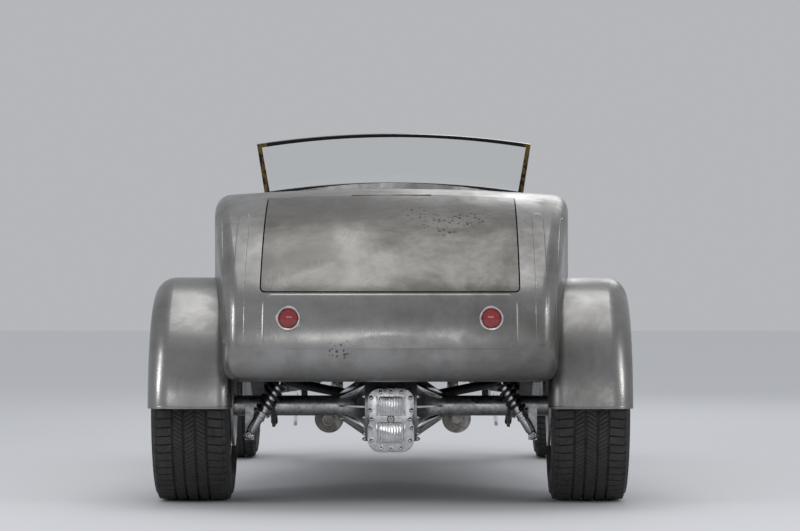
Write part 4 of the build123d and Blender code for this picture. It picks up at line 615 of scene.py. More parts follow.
def acorn_nut(name, place, axis, across=0.016, height=0.014):
    """Six-sided nut with a domed cap."""
    axis = Vector(axis).normalized()
    bpy.ops.object.select_all(action="DESELECT")
    bpy.ops.mesh.primitive_cylinder_add(vertices=6, radius=across * 0.577, depth=height * 0.5)
    piece = fresh(name)
    bpy.ops.object.mode_set(mode="EDIT")
    bpy.ops.mesh.select_all(action="SELECT")
    bpy.ops.mesh.bevel(offset=across * 0.05, segments=1, affect="EDGES")
    bpy.ops.object.mode_set(mode="OBJECT")
    piece.data.transform(Matrix.Translation((0, 0, height * 0.25)))
    bpy.ops.object.select_all(action="DESELECT")
    bpy.ops.mesh.primitive_uv_sphere_add(segments=14, ring_count=8, radius=across * 0.42)
    dome = fresh(name + "_dome")
    bpy.ops.object.mode_set(mode="EDIT")
    bpy.ops.mesh.select_all(action="SELECT")
    bpy.ops.mesh.bisect(plane_co=(0, 0, 0), plane_no=(0, 0, 1), clear_inner=True, use_fill=True)
    bpy.ops.object.mode_set(mode="OBJECT")
    dome.data.transform(Matrix.Translation((0, 0, height * 0.5)) @ Matrix.Diagonal((1, 1, 1.15, 1)))
    piece = joined(name, [piece, dome])
    turn = axis.to_track_quat("Z", "Y").to_matrix().to_4x4()
    piece.data.transform(Matrix.Translation(Vector(place)) @ turn)
    return smooth(piece, 30)


def rounded_outline(low_a, high_a, low_b, high_b, radius, steps=5):
    """Points round a rectangle with rounded corners."""
    points = []
    for a, b, start in ((high_a - radius, high_b - radius, 0),
                        (low_a + radius, high_b - radius, 90),
                        (low_a + radius, low_b + radius, 180),
                        (high_a - radius, low_b + radius, 270)):
        for step in range(steps + 1):
            turn = radians(start + 90 * step / steps)
            points.append((a + radius * cos(turn), b + radius * sin(turn)))
    return points


# ------------------------------------------------------------------ tyres
def tread_block(name, x0, x1, low, high, length, slant, gap, crown, bevel=0.0012):
    """One block of tread, standing between two radii at the tyre's top and centred on the wheel."""
    bpy.ops.object.select_all(action="DESELECT")
    bpy.ops.mesh.primitive_cube_add(size=2)
    piece = fresh(name)
    half = (length - gap) / 2
    for vertex in piece.data.vertices:
        x = x1 if vertex.co.x > 0 else x0
        top = vertex.co.z > 0
        away = (high if top else low) - crown * abs(x) ** 2
        shift = slant * (x - (x0 + x1) / 2)
        reach = half if top else half + 0.0008
        vertex.co = (x, (reach if vertex.co.y > 0 else -reach) + shift, away)
    bpy.ops.object.mode_set(mode="EDIT")
    bpy.ops.mesh.select_all(action="SELECT")
    bpy.ops.mesh.bevel(offset=bevel, segments=1, affect="EDGES")
    bpy.ops.object.mode_set(mode="OBJECT")
    return piece


def tyre(name, hub, width, radius, rim_radius, rim_width, grooves, pitches):
    """Tyre with bulging walls, circular grooves and blocks cut across by slots."""
    half = width / 2
    bead = rim_width / 2 - 0.0115
    groove = 0.0085
    base = radius - groove
    crown = 0.003 / (half - 0.028) ** 2
    profile = [(-bead, rim_radius + 0.0004), (bead, rim_radius + 0.0004),
               (bead, rim_radius + 0.012),
               (bead + 0.007, rim_radius + 0.017), (bead + 0.006, rim_radius + 0.023)]
    wall = rim_radius + (radius - rim_radius) * 0.52
    foot = rim_radius + 0.028
    for share in (0.12, 0.3, 0.5, 0.7, 0.85, 1.0):
        z = foot + (wall - foot) * share
        profile.append((bead + 0.004 + (half - 0.0005 - bead - 0.004) * sin(share * pi / 2), z))
    profile += [(half - 0.002, wall + (radius - 0.026 - wall) * 0.5),
                (half - 0.0045, radius - 0.030),
                (half - 0.0045, radius - 0.0265), (half - 0.009, radius - 0.0245),
                (half - 0.013, radius - 0.0165),
                (half - 0.020, radius - 0.0120)]
    count = 9
    right = [(half - 0.030, base - crown * (half - 0.030) ** 2)]
    inner = [((half - 0.030) * step / (count + 1),
              base - crown * ((half - 0.030) * step / (count + 1)) ** 2)
             for step in range(count, 0, -1)]
    profile += right + inner
    mirror = [(-a, b) for a, b in reversed(profile[2:])]
    profile += [(0, base), *mirror]
    carcass = turned(name + "_carcass", profile, (0, 0, 0), (1, 0, 0), 96, angle=50)
    pitch = 2 * pi * radius / pitches
    edges = [-half + 0.026, *grooves, half - 0.026]
    blocks = []
    for index in range(len(edges) - 1):
        x0, x1 = edges[index], edges[index + 1]
        first, last = index == 0, index == len(edges) - 2
        x0 += 0.0045 if not first else 0
        x1 -= 0.0045 if not last else 0
        if first or last:
            blocks.append(tread_block("block", x0, x1, base - 0.003, radius - 0.0002, pitch,
                                      0.10 if first else -0.10, 0.0052, crown))
            out = (x0 - 0.0125, x0 + 0.002) if first else (x1 - 0.002, x1 + 0.0125)
            lug = slab("lug", (out[0], -(pitch - 0.007) / 2, radius - 0.024),
                       (out[1], (pitch - 0.007) / 2, radius - 0.0055), 0.0035, 2)
            blocks.append(lug)
        else:
            for part in (-0.25, 0.25):
                made = tread_block("block", x0, x1, base - 0.003, radius - 0.0002, pitch / 2,
                                   0.62 if index % 2 else -0.62, 0.0022, crown, 0.0008)
                made.data.transform(Matrix.Rotation(-part * 2 * pi / pitches, 4, "X"))
                blocks.append(made)
    sector = joined(name + "_sector", blocks)
    ring = [copied(sector,
                   Matrix.Rotation(2 * pi * step / pitches, 4, "X")) for step in range(1, pitches)]
    piece = joined(name, [carcass, sector, *ring])
    piece.data.transform(Matrix.Translation(hub))
    return smooth(piece, 40)


rear_tyre = tyre("rear_tyre_tread", REAR_HUB, 0.290, REAR_TYRE_RADIUS, REAR_RIM_RADIUS, 0.254,
                 (-0.062, -0.022, 0.022, 0.062), 66)
mirrored_pair(rear_tyre, "rear_tyre_tread", rubber, ("rear_wheel_left", "rear_wheel_right"),
              "rear_tyre")
front_tyre = tyre("front_tyre_tread", FRONT_HUB, 0.165, FRONT_TYRE_RADIUS, FRONT_RIM_RADIUS, 0.140,
                  (-0.026, 0.026), 60)
mirrored_pair(front_tyre, "front_tyre_tread", rubber, ("front_wheel_left", "front_wheel_right"),
              "front_tyre")


# ------------------------------------------------------------------ coil-overs
def coil_over():
    """Damper with its sleeve, helical spring, collars and eyes."""
    way = (COIL_HEAD - COIL_FOOT).normalized()
    span = (COIL_HEAD - COIL_FOOT).length
    low, high = 0.28 * span, 0.93 * span
    body = turned("damper",
                  [(0.012, 0.0), (0.012, 0.014), (0.020, 0.0185), (low - 0.028, 0.0185),
                   (low - 0.026, 0.0225),
                             (low - 0.018, 0.0225), (low - 0.016, 0.021), (low + 0.006, 0.021),
                   (low + 0.006, 0.0185),
                             (span * 0.62, 0.0185), (span * 0.62, 0.0), ], (0, 0, 0), (0, 0, 1), 32)
    rod = turned("damper_rod",
                 [(span * 0.6, 0.0), (span * 0.6, 0.0075), (high, 0.0075), (high, 0.0)], (0, 0, 0),
                 (0, 0, 1), 20)
    foot = turned("collar_low",
                  [(low - 0.002, 0.018), (low - 0.002, 0.033), (low + 0.003, 0.0335),
                   (low + 0.006, 0.031),
                                 (low + 0.006, 0.018)], (0, 0, 0), (0, 0, 1), 32)
    notches = [slab("notch", (0.029, -0.004, low - 0.006), (0.0335, 0.004, low - 0.001), 0.0008, 1,
                    Matrix.Rotation(radians(60 * step), 4, "Z")) for step in range(6)]
    cap = turned("collar_high",
                 [(high - 0.006, 0.0), (high - 0.006, 0.031), (high - 0.002, 0.0335),
                  (high + 0.003, 0.033),
                                 (high + 0.008, 0.018), (high + 0.016, 0.012),
                  (span - 0.012, 0.012), (span - 0.012, 0.0)],
                 (0, 0, 0), (0, 0, 1), 32)
    eyes = []
    for along in (0.0, span):
        eyes.append(turned("eye",
                           [(-0.0155, 0.0084), (-0.0155, 0.0135), (-0.012, 0.0158), (0.012, 0.0158),
                            (0.0155, 0.0135),
                                   (0.0155, 0.0084)], (0, 0, along), (0, 1, 0), 32))
    metal = joined("damper", [body, rod, foot, *notches, cap, *eyes])
    turns = 9
    bpy.ops.object.select_all(action="DESELECT")
    bpy.ops.mesh.primitive_circle_add(vertices=10, radius=0.0058, rotation=(radians(90), 0, 0))
    spring = settle(fresh("spring"))
    spring.data.transform(Matrix.Translation((0.0275, 0, low + 0.012)))
    screw = spring.modifiers.new("coil", "SCREW")
    screw.steps = screw.render_steps = 22
    screw.iterations = turns
    screw.screw_offset = (high - low - 0.026) / turns
    screw.use_merge_vertices = True
    apply_all(spring)
    bpy.ops.object.mode_set(mode="EDIT")
    bpy.ops.mesh.select_all(action="DESELECT")
    bpy.ops.mesh.select_non_manifold()
    bpy.ops.mesh.fill()
    bpy.ops.object.mode_set(mode="OBJECT")
    closed_up(spring)
    smooth(spring, 60)
    turn = Matrix.Translation(COIL_FOOT) @ way.to_track_quat("Z", "Y").to_matrix().to_4x4()
    for piece in (metal, spring):
        piece.data.transform(turn)
    return metal, spring


damper, spring = coil_over()
finish_piece(joined("coil_over_dampers", [damper, copied(damper, MIRROR)]), polished, "chassis",
             ("coil_overs",))
finish_piece(joined("coil_over_springs", [spring, copied(spring, MIRROR)]), coil_paint, "chassis",
             ("coil_overs",))

bolts = []
for end in (COIL_FOOT, COIL_HEAD):
    bolts.append(acorn_nut("coil_bolt", (end.x, end.y - 0.0156, end.z), (0, -1, 0), 0.019, 0.012))
bolts = joined("coil_over_bolts", bolts)
finish_piece(joined("coil_over_bolts", [bolts, copied(bolts, MIRROR)]), chrome, "chassis")


# ------------------------------------------------------------------ quick-change cover
COVER_SEAT_Y = REAR_Y - 0.160
COVER_FACE_Y = COVER_SEAT_Y - 0.0143
COVER_HALF = 0.087
COVER_TOP_Z = 0.428
COVER_BOTTOM_Z = 0.189
COVER_WAIST_Z = 0.312


def plate(name, outline, low_y, high_y, bevel=0.002, segments=2):
    """Plate of an outline in X and Z, between two depths, with rounded edges."""
    bpy.ops.object.select_all(action="DESELECT")
    bpy.ops.mesh.primitive_circle_add(vertices=len(outline), fill_type="NGON")
    piece = fresh(name)
    for vertex, (x, z) in zip(piece.data.vertices, outline):
        vertex.co = (x, high_y, z)
    bpy.ops.object.mode_set(mode="EDIT")
    bpy.ops.mesh.select_all(action="SELECT")
    bpy.ops.mesh.extrude_region_move(TRANSFORM_OT_translate={"value": (0, low_y - high_y, 0)})
    bpy.ops.object.mode_set(mode="OBJECT")
    closed_up(piece)
    if bevel:
        bpy.ops.object.mode_set(mode="EDIT")
        bpy.ops.mesh.select_all(action="DESELECT")
        bpy.ops.object.mode_set(mode="OBJECT")
        for polygon in piece.data.polygons:
            polygon.select = polygon.normal.y < -0.9
        bpy.ops.object.mode_set(mode="EDIT")
        bpy.ops.mesh.select_mode(type="FACE")
        bpy.ops.mesh.region_to_loop()
        bpy.ops.mesh.bevel(offset=bevel, segments=segments, affect="EDGES")
        bpy.ops.mesh.select_mode(type="VERT")
        bpy.ops.object.mode_set(mode="OBJECT")
    return smooth(piece, 30)


def cover():
    """Finned cover of the gear case: two fields of upright ribs either side of a waist."""
    back = COVER_SEAT_Y - 0.0003
    half, waist = COVER_HALF, COVER_WAIST_Z
    outline = []
    for x, z, radius, start in ((half, COVER_TOP_Z, 0.046, 0), (-half, COVER_TOP_Z, 0.046, 90)):
        for step in range(7):
            turn = radians(start + 90 * step / 6)
            cx = x - radius if x > 0 else x + radius
            outline.append((cx + radius * cos(turn), z - radius + radius * sin(turn)))
    outline += [(-half, waist + 0.030), (-half + 0.007, waist + 0.014),
                (-half + 0.007, waist - 0.014), (-half, waist - 0.030)]
    for x, z, radius, start in ((-half, COVER_BOTTOM_Z, 0.050, 180),
                                (half, COVER_BOTTOM_Z, 0.050, 270)):
        for step in range(7):
            turn = radians(start + 90 * step / 6)
            cx = x - radius if x > 0 else x + radius
            outline.append((cx + radius * cos(turn), z + radius + radius * sin(turn)))
    outline += [(half, waist - 0.030), (half - 0.007, waist - 0.014), (half - 0.007, waist + 0.014),
                (half, waist + 0.030)]
    pieces = [plate("cover_plate", outline, back - 0.013, back, 0.003, 3)]
    for low, high in ((waist + 0.012, COVER_TOP_Z - 0.032),
                      (COVER_BOTTOM_Z + 0.034, waist - 0.012)):
        pieces.append(plate("field", rounded_outline(-0.047, 0.047, low, high, 0.010), back - 0.021,
                            back - 0.011, 0.003, 2))
        for step in range(-4, 5):
            x = step * 0.0103
            short = 0.004 if abs(step) == 4 else 0.0
            pieces.append(slab("rib", (x - 0.0021, back - 0.0335, low + 0.004 + short),
                               (x + 0.0021, back - 0.018, high - 0.004 - short), 0.0014, 2))
        for x in (-0.052, 0.052):
            pieces.append(slab("side_rib", (x - 0.003, back - 0.0225, low),
                               (x + 0.003, back - 0.011, high), 0.0014, 2))
    pieces.append(turned("waist_boss",
                         [(0.010, 0.0), (0.010, 0.016), (0.024, 0.013), (0.027, 0.010),
                          (0.027, 0.0)],
                         (0, back, waist), (0, -1, 0), 24))
    return joined("quick_change_cover_ribbed", pieces)


finish_piece(cover(), polished, "chassis", ("quick_change_cover",))
nuts = [acorn_nut("nut", (0, COVER_FACE_Y - 0.012, COVER_WAIST_Z), (0, -1, 0), 0.014, 0.010)]
for side in (-1, 1):
    for x, z in ((0.073, 0.392), (0.0765, 0.345), (0.071, 0.312), (0.0765, 0.279), (0.072, 0.232),
                 (0.036, 0.204), (0.038, 0.413)):
        nuts.append(acorn_nut("nut", (side * x, COVER_FACE_Y + 0.0008, z), (0, -1, 0),
                              0.0175, 0.019))
for z in (0.200, 0.414):
    nuts.append(acorn_nut("nut", (0, COVER_FACE_Y + 0.0008, z), (0, -1, 0), 0.0175, 0.019))
finish_piece(joined("cover_nuts", nuts), chrome, "chassis", ("quick_change_cover",))

BELL_NUTS_RADIUS = 0.1255
ribs = []
for step in range(10):
    turn = radians(36 * step + 18)
    place = Vector((0.0965, REAR_Y + BELL_NUTS_RADIUS * cos(turn),
                    REAR_TYRE_RADIUS + BELL_NUTS_RADIUS * sin(turn)))
    ribs.append(acorn_nut("bell_nut", place, (1, 0, 0), 0.014, 0.012))
for step in range(8):
    turn = Matrix.Translation((0, REAR_Y,
                               REAR_TYRE_RADIUS)) @ Matrix.Rotation(radians(45 * step), 4, "X")
    fin = slab("bell_fin", (0.094, -0.0035, 0.046), (0.192, 0.0035, 0.112), 0.0015, 2)
    for vertex in fin.data.vertices:
        share = min(max((vertex.co.x - 0.100) / 0.092, 0), 1)
        if vertex.co.z > 0.08:
            vertex.co.z = 0.1165 - 0.066 * share ** 0.75
        else:
            vertex.co.z = min(vertex.co.z, 0.050)
    fin.data.transform(turn)
    ribs.append(fin)
bell = joined("axle_bell_ribs", ribs)
finish_piece(joined("axle_bell_ribs", [bell, copied(bell, MIRROR)]), polished, "chassis")


# ------------------------------------------------------------------ taillights
def taillight():
    """Round lamp: rolled bezel, ribbed red lens and a dark well between them."""
    bezel = turned("bezel",
                   [(-0.016, 0.0330), (0.001, 0.0330), (0.005, 0.0350), (0.0080, 0.0385),
                    (0.0072, 0.0420), (0.003, 0.0440),
                             (-0.016, 0.0440)], TAILLIGHT, (0, -1, 0), 64)
    profile = [(-0.006, 0.0), (-0.006, 0.0328)]
    count = 7
    for step in range(count * 2 + 1):
        share = 1 - step / (count * 2)
        away = 0.0328 * share
        rise = 0.0095 * (1 - share ** 2) + (0.0009 if step % 2 else 0.0)
        profile.append((rise - 0.001, away))
    lens = turned("lens", profile, TAILLIGHT, (0, -1, 0), 64, angle=60)
    well = turned("well", [(-0.030, 0.0), (-0.030, 0.0405), (-0.012, 0.0405), (-0.012, 0.0)],
                  TAILLIGHT, (0, -1, 0), 48)
    return bezel, lens, well


for piece, stem, material, slot in zip(taillight(),
                                       ("taillight_bezels", "taillight_lenses", "taillight_wells"),
                                       (chrome, red_lens, dark_well),
                                       ("chrome", "red_lens", "black_paint")):
    finish_piece(joined(stem, [piece, copied(piece, MIRROR)]), material, "chassis",
                 ("taillights",))


# ------------------------------------------------------------------ the tail's raised panels
PANEL_CUTS = 28                              # a panel is cut this often each way to follow its skin
TAIL_TURN_Z = 0.600                          # the tail's rearmost height
TAIL_LOW_RADIUS = 0.138
TAIL_HIGH_RADIUS = 0.330
TAIL_BOW = 0.062                             # the tail lies this much further forward ...
TAIL_BOW_X = 0.700                           # ... at this half-width


def tail_surface(x, z):
    """Depth of the tail's skin at a half-width and height."""
    tail_y = TAIL_Y + TAIL_BOW * (x / TAIL_BOW_X) ** 2
    radius = TAIL_LOW_RADIUS if z < TAIL_TURN_Z else TAIL_HIGH_RADIUS
    return tail_y + radius - sqrt(max(radius ** 2 - (z - TAIL_TURN_Z) ** 2, 0))


def raised_panel(name, outline, skin, rise, ring):
    """Thin panel over a skin: flat edge, small radius step, then the level field.

    outline is in the skin's own two directions, and skin(a, b) is the point and its normal.
    """
    centre = (sum(p[0] for p in outline) / len(outline), sum(p[1] for p in outline) / len(outline))
    bpy.ops.object.select_all(action="DESELECT")
    bpy.ops.mesh.primitive_circle_add(vertices=len(outline), fill_type="NGON")
    piece = fresh(name)
    for vertex, (a, b) in zip(piece.data.vertices, outline):
        vertex.co = (a, b, 0)
    bpy.ops.object.mode_set(mode="EDIT")
    bpy.ops.mesh.select_all(action="SELECT")
    bpy.ops.mesh.inset(thickness=ring * 0.5, depth=0)
    bpy.ops.mesh.inset(thickness=ring * 0.5, depth=0)
    bpy.ops.mesh.inset(thickness=ring, depth=0)
    low_a, high_a = min(p[0] for p in outline), max(p[0] for p in outline)
    low_b, high_b = min(p[1] for p in outline), max(p[1] for p in outline)
    for low, high, normal in ((low_a, high_a, (1, 0, 0)), (low_b, high_b, (0, 1, 0))):
        for step in range(1, PANEL_CUTS):
            at = low + (high - low) * step / PANEL_CUTS
            bpy.ops.mesh.select_all(action="SELECT")
            bpy.ops.mesh.bisect(plane_co=tuple(at * n for n in normal), plane_no=normal)
    bpy.ops.object.mode_set(mode="OBJECT")
    for vertex in piece.data.vertices:
        a, b = vertex.co.x, vertex.co.y
        inside = edge_distance((a, b), outline)
        share = min(inside / ring, 1.0)
        lift = rise * (3 * share ** 2 - 2 * share ** 3) - 0.0012 * (1 - share)
        point, normal = skin(a, b)
        vertex.co = point + normal * lift
        vertex.co.y = max(vertex.co.y, CAD_BOX[0][1])
    closed_up(piece)
    thick = piece.modifiers.new("sheet", "SOLIDIFY")
    thick.thickness = 0.003
    thick.offset = -1.0
    facing = sum((p.normal for p in piece.data.polygons), Vector())
    if facing.dot(skin(*centre)[1]) < 0:
        piece.data.flip_normals()
    return smooth(closed_up(apply_all(piece)), 60)


def cast_skin(node_name, way, start=3.0, base=None):
    """Skin of a CAD node looked at along +-X or +Y: (a, b) to the point and its outward normal.

    base(b), where given, is where a starts at that height.
    """
    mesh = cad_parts[node_name].data
    tree = BVHTree.FromPolygons([v.co for v in mesh.vertices], [p.vertices for p in mesh.polygons])
    way = Vector(way)

    def hit(a, b):
        if base:
            a += base(b)
        origin = (a, -start, b) if way.y else (-start * way.x, a, b)
        return tree.ray_cast(Vector(origin), way)[0]

    def skin(a, b, step=0.005):
        across = hit(a + step, b) - hit(a - step, b)
        up = hit(a, b + step) - hit(a, b - step)
        normal = across.cross(up).normalized()
        return hit(a, b), normal if normal.dot(way) < 0 else -normal

    return skin


def edge_distance(point, outline):
    """Least distance from a point to a closed outline."""
    best = 1e9
    for index, first in enumerate(outline):
        second = outline[(index + 1) % len(outline)]
        ax, ay = first
        dx, dy = second[0] - ax, second[1] - ay
        share = ((point[0] - ax) * dx + (point[1] - ay) * dy) / (dx * dx + dy * dy + 1e-12)
        share = min(max(share, 0), 1)
        best = min(best, hypot(point[0] - ax - dx * share, point[1] - ay - dy * share))
    return best


def tail_skin(x, z):
    """Point and outward normal of the tail's skin."""
    here = Vector((x, tail_surface(x, z), z))
    step = 0.002
    along_x = Vector((2 * step, tail_surface(x + step, z) - tail_surface(x - step, z), 0))
    along_z = Vector((0, tail_surface(x, z + step) - tail_surface(x, z - step), 2 * step))
    normal = along_x.cross(along_z).normalized()
    return here, normal if normal.y < 0 else -normal


lower_panel = raised_panel("tail_lower_panel",
                           rounded_outline(-0.460, 0.460, 0.580, 0.781, 0.036, 8), tail_skin,
                           0.0022, 0.006)
finish_piece(lower_panel, steel_body, "chassis")


# ------------------------------------------------------------------ rear fenders' rolled edges
def fender_bead(name, hub, inner_x, outer_x, opening, crown, inner_corner, outer_corner, forward,
                rearward, radius):
    """Wire edge: over the crown at each end, and round the opening between them."""
    inset = radius * 0.6
    edge_x = outer_x - radius

    def at(x, out, angle):
        turn = radians(angle)
        return Vector((x, hub.y - out * sin(turn), hub.z + out * cos(turn)))

    rows = []
    for end in (rearward, -forward):
        row = [at(inner_x + inset, opening + 0.010, end)]
        for centre_x, corner, first in ((inner_x + inner_corner, inner_corner, 180),
                                        (edge_x + inset - outer_corner, outer_corner, 90)):
            for step in range(9):
                turn = radians(first - 90 * step / 8)
                row.append(at(centre_x + (corner - inset) * cos(turn),
                              crown - corner + (corner - inset) * sin(turn), end))
        row.append(at(edge_x, opening + 0.010, end))
        rows.append(row)
    path = list(rows[0])
    steps = 44
    for step in range(1, steps):
        path.append(at(edge_x, opening + 0.002, rearward - (rearward + forward) * step / steps))
    return tube(name, path + rows[1][::-1], radius, 12)


bead = fender_bead("rear_fender_bead", REAR_HUB, 0.575, 0.882, 0.384, 0.481, 0.062, 0.078, 72.2,
                   88.2, 0.0055)
mirrored_pair(bead, "rear_fender_bead", steel_fender, ("chassis", "chassis"))


# ------------------------------------------------------------------ headlights
def headlight():
    """Bowl, rim, domed glass, reflector and bulb; the curved stand is made after."""
    bowl = turned("bowl",
                  [(-0.1175, 0.0), (-0.116, 0.016), (-0.108, 0.038), (-0.092, 0.059),
                   (-0.068, 0.075), (-0.036, 0.0845),
                           (0.0, 0.0865), (0.0, 0.083), (-0.036, 0.081), (-0.066, 0.072),
                   (-0.089, 0.056), (-0.104, 0.036),
                           (-0.112, 0.015), (-0.1125, 0.0)], HEADLIGHT, (0, 1, 0), 64)
    rim = turned("rim",
                 [(-0.004, 0.0840), (-0.004, 0.0895), (0.002, 0.0919), (0.010, 0.0919),
                  (0.0165, 0.0885), (0.0185, 0.0835),
                         (0.0170, 0.0805), (0.0120, 0.0800), (0.0110, 0.0835)], HEADLIGHT,
                 (0, 1, 0), 64)
    shell = joined("headlight_shell", [bowl, rim])
    profile = [(0.0125, 0.0812)]
    for step in range(9):
        away = 0.0808 * (1 - step / 8)
        profile.append((0.0155 + 0.0125 * (1 - (away / 0.0808) ** 2), away))
    inner = [(a - 0.003, b) for a, b in reversed(profile[1:])]
    glass = turned("glass", [*profile, *inner], HEADLIGHT, (0, 1, 0), 64, angle=60)
    dish = turned("dish",
                  [(-0.082, 0.0), (-0.080, 0.018), (-0.066, 0.044), (-0.040, 0.066),
                   (-0.004, 0.0800), (0.010, 0.0805),
                           (0.010, 0.0785), (-0.004, 0.0780), (-0.039, 0.064), (-0.064, 0.043),
                   (-0.077, 0.017), (-0.079, 0.0)],
                  HEADLIGHT, (0, 1, 0), 64, angle=60)
    bulb = turned("bulb",
                  [(-0.079, 0.0), (-0.079, 0.010), (-0.055, 0.010), (-0.052, 0.014),
                   (-0.040, 0.016), (-0.030, 0.012),
                           (-0.026, 0.0)], HEADLIGHT, (0, 1, 0), 24)
    return shell, glass, joined("reflector", [dish, bulb])


shell, glass, reflector = headlight()
STAND_Y = HEADLIGHT.y - 0.040
stand_foot = Vector((0.206, STAND_Y, 0.505))
stand = tube("stand",
             [stand_foot, stand_foot + Vector((0.010, 0, 0.06)), Vector((0.30, STAND_Y, 0.66)),
                       Vector((HEADLIGHT.x - 0.004, STAND_Y, 0.700)),
              Vector((HEADLIGHT.x, STAND_Y, 0.722))], 0.0105, 16, smooth_line=True)
socket = turned("socket",
                [(-0.016, 0.0), (-0.016, 0.019), (-0.008, 0.022), (0.004, 0.016), (0.010, 0.0105),
                 (0.010, 0.0)], stand_foot, (0, 0, 1), 28)
shell = joined("headlight_shell", [shell, stand, socket])
for piece, stem, material, slot in ((shell, "headlight_shells", chrome, "chrome"),
                                    (glass, "headlight_glasses", lamp_glass, "clear_glass"),
                                    (reflector, "headlight_reflectors", chrome, "chrome")):
    finish_piece(joined(stem, [piece, copied(piece, MIRROR)]), material, "chassis",
                 ("headlights",))


# ------------------------------------------------------------------ seat
seat_low, seat_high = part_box("seat_cushion")
back_low, back_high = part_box("seat_back")


CLOTH_PRESSURE = 4.0
CLOTH_FRAMES = 20


def puffed(piece, limit):
    """Voxel remesh, then a short cloth inflation with each point's travel capped."""
    only(piece)
    remesh = piece.modifiers.new("even", "REMESH")
    remesh.mode = "VOXEL"
    remesh.voxel_size = 0.009
    apply_all(piece)
    rest = [v.co.copy() for v in piece.data.vertices]
    cloth = piece.modifiers.new("fill", "CLOTH")
    cloth.settings.use_pressure = True
    cloth.settings.uniform_pressure_force = CLOTH_PRESSURE
    cloth.settings.effector_weights.gravity = 0
    cloth.settings.quality = 5
    scene = bpy.context.scene
    for step in range(1, CLOTH_FRAMES + 1):
        scene.frame_set(step)
    solved = piece.evaluated_get(bpy.context.evaluated_depsgraph_get())
    moved = [v.co.copy() for v in solved.data.vertices]
    piece.modifiers.remove(cloth)
    scene.frame_set(1)
    for vertex, start, end in zip(piece.data.vertices, rest, moved):
        travel = end - start
        if travel.length > limit:
            travel = travel.normalized() * limit
        vertex.co = start + travel
    return smooth(piece, 80)


def pleated(piece, across, pitch, depth, facing, low, high, border):
    """Presses sewn channels into the face that looks along facing."""
    for vertex in piece.data.vertices:
        turn = vertex.normal.dot(facing)
        if turn < 0.25:
            continue
        a = vertex.co[across]
        inside = min(a - low[across], high[across] - a) / border
        share = min(max(inside, 0), 1) * min(turn, 1)
        wave = abs(sin(pi * a / pitch)) ** 0.45
        vertex.co -= facing * depth * (1 - wave) * share
    return piece


def seat_bottom():
    """Pleated cushion, lower at its rear edge."""
    gap = 0.004
    low = seat_low + Vector((gap, gap, 0.0005))
    high = seat_high - Vector((gap, gap, 0.006))
    piece = slab("seat_cushion_trimmed", low, high, 0.045, 5)
    for vertex in piece.data.vertices:
        share_y = (vertex.co.y - low.y) / (high.y - low.y)
        if vertex.co.z > (low.z + high.z) / 2:
            vertex.co.z -= 0.010 * (1 - share_y)
    puffed(piece, 0.012)
    pleated(piece, 0, 0.062, 0.013, Vector((0, 0, 1)), low, high, 0.05)
    return piece


def seat_rest():
    """Pleated backrest, thinner towards its top."""
    low, high = back_low, back_high
    piece = slab("seat_back_trimmed", low + Vector((0.004, 0.0005, 0.012)),
                 high - Vector((0.004, 0.016, 0.006)), 0.030, 5)
    for vertex in piece.data.vertices:
        share = (vertex.co.z - low.z) / (high.z - low.z)
        if vertex.co.y > (low.y + high.y) / 2:
            vertex.co.y -= 0.030 * share
    puffed(piece, 0.010)
    pleated(piece, 0, 0.062, 0.012, Vector((0, 1, 0)), low, high, 0.05)
    return piece


def clamp_inside(piece, low, high):
    """Keeps a piece inside a box."""
    for vertex in piece.data.vertices:
        vertex.co = [min(max(c, a), b) for c, a, b in zip(vertex.co, low, high)]
    return piece


seat_base = clamp_inside(seat_bottom(), seat_low, seat_high)
finish_piece(seat_base, leather, "chassis", ("seat_cushion",))
seat_rest_piece = clamp_inside(seat_rest(), back_low, back_high)
finish_piece(seat_rest_piece, leather, "chassis", ("seat_back",))


# ------------------------------------------------------------------ steering wheel
EYELET = ((0.0020, 0.0026), (0.0020, 0.0048), (0.0034, 0.0044), (0.0034, 0.0030))


def steering():
    """Thin rim with finger swells, three drilled spokes and a horn button."""
    turn = Matrix.Translation(STEERING) @ STEERING_AXIS.to_track_quat("Z", "Y").to_matrix().to_4x4()
    rim_radius = 0.185
    bpy.ops.object.select_all(action="DESELECT")
    bpy.ops.mesh.primitive_torus_add(major_radius=rim_radius, minor_radius=0.0122,
                                     major_segments=160, minor_segments=16)
    rim = fresh("steering_rim")
    for vertex in rim.data.vertices:
        angle = atan2(vertex.co.y, vertex.co.x)
        flat = Vector((cos(angle), sin(angle), 0)) * rim_radius
        swell = 1.0 - 0.10 * max(0.0, cos(angle * 32)) ** 3
        if vertex.co.z > 0.0:
            swell = 1.0
        vertex.co = flat + (vertex.co - flat) * swell
    rim.data.transform(turn)
    smooth(rim, 60)
    spokes = []
    for angle in (90, 210, 330):
        spoke = slab("spoke", (0.028, -0.0105, -0.0022), (0.178, 0.0105, 0.0022), 0.0012, 2)
        for vertex in spoke.data.vertices:
            share = (vertex.co.x - 0.028) / 0.150
            vertex.co.y *= 1.25 - 0.45 * share
        spokes.append(spoke)
        for hole in range(4):
            for way in (1, -1):
                spokes.append(turned("eyelet", EYELET, (0.060 + 0.030 * hole, 0, 0),
                                     (0, 0, way), 20))
        for part in spokes[-9:]:
            part.data.transform(Matrix.Rotation(radians(angle), 4, "Z"))
    hub = turned("hub",
                 [(-0.0115, 0.012), (-0.0115, 0.0335), (0.004, 0.0335), (0.010, 0.030),
                  (0.029, 0.024), (0.029, 0.012)],
                 (0, 0, 0), (0, 0, 1), 40)
    frame_part = joined("steering_spokes", [hub, *spokes])
    frame_part.data.transform(turn)
    button = turned("horn_button",
                    [(0.008, 0.0), (0.008, 0.024), (0.0115, 0.0245), (0.0118, 0.018),
                     (0.0119, 0.0)], (0, 0, 0), (0, 0, -1), 40)
    button.data.transform(turn)
    return rim, frame_part, button


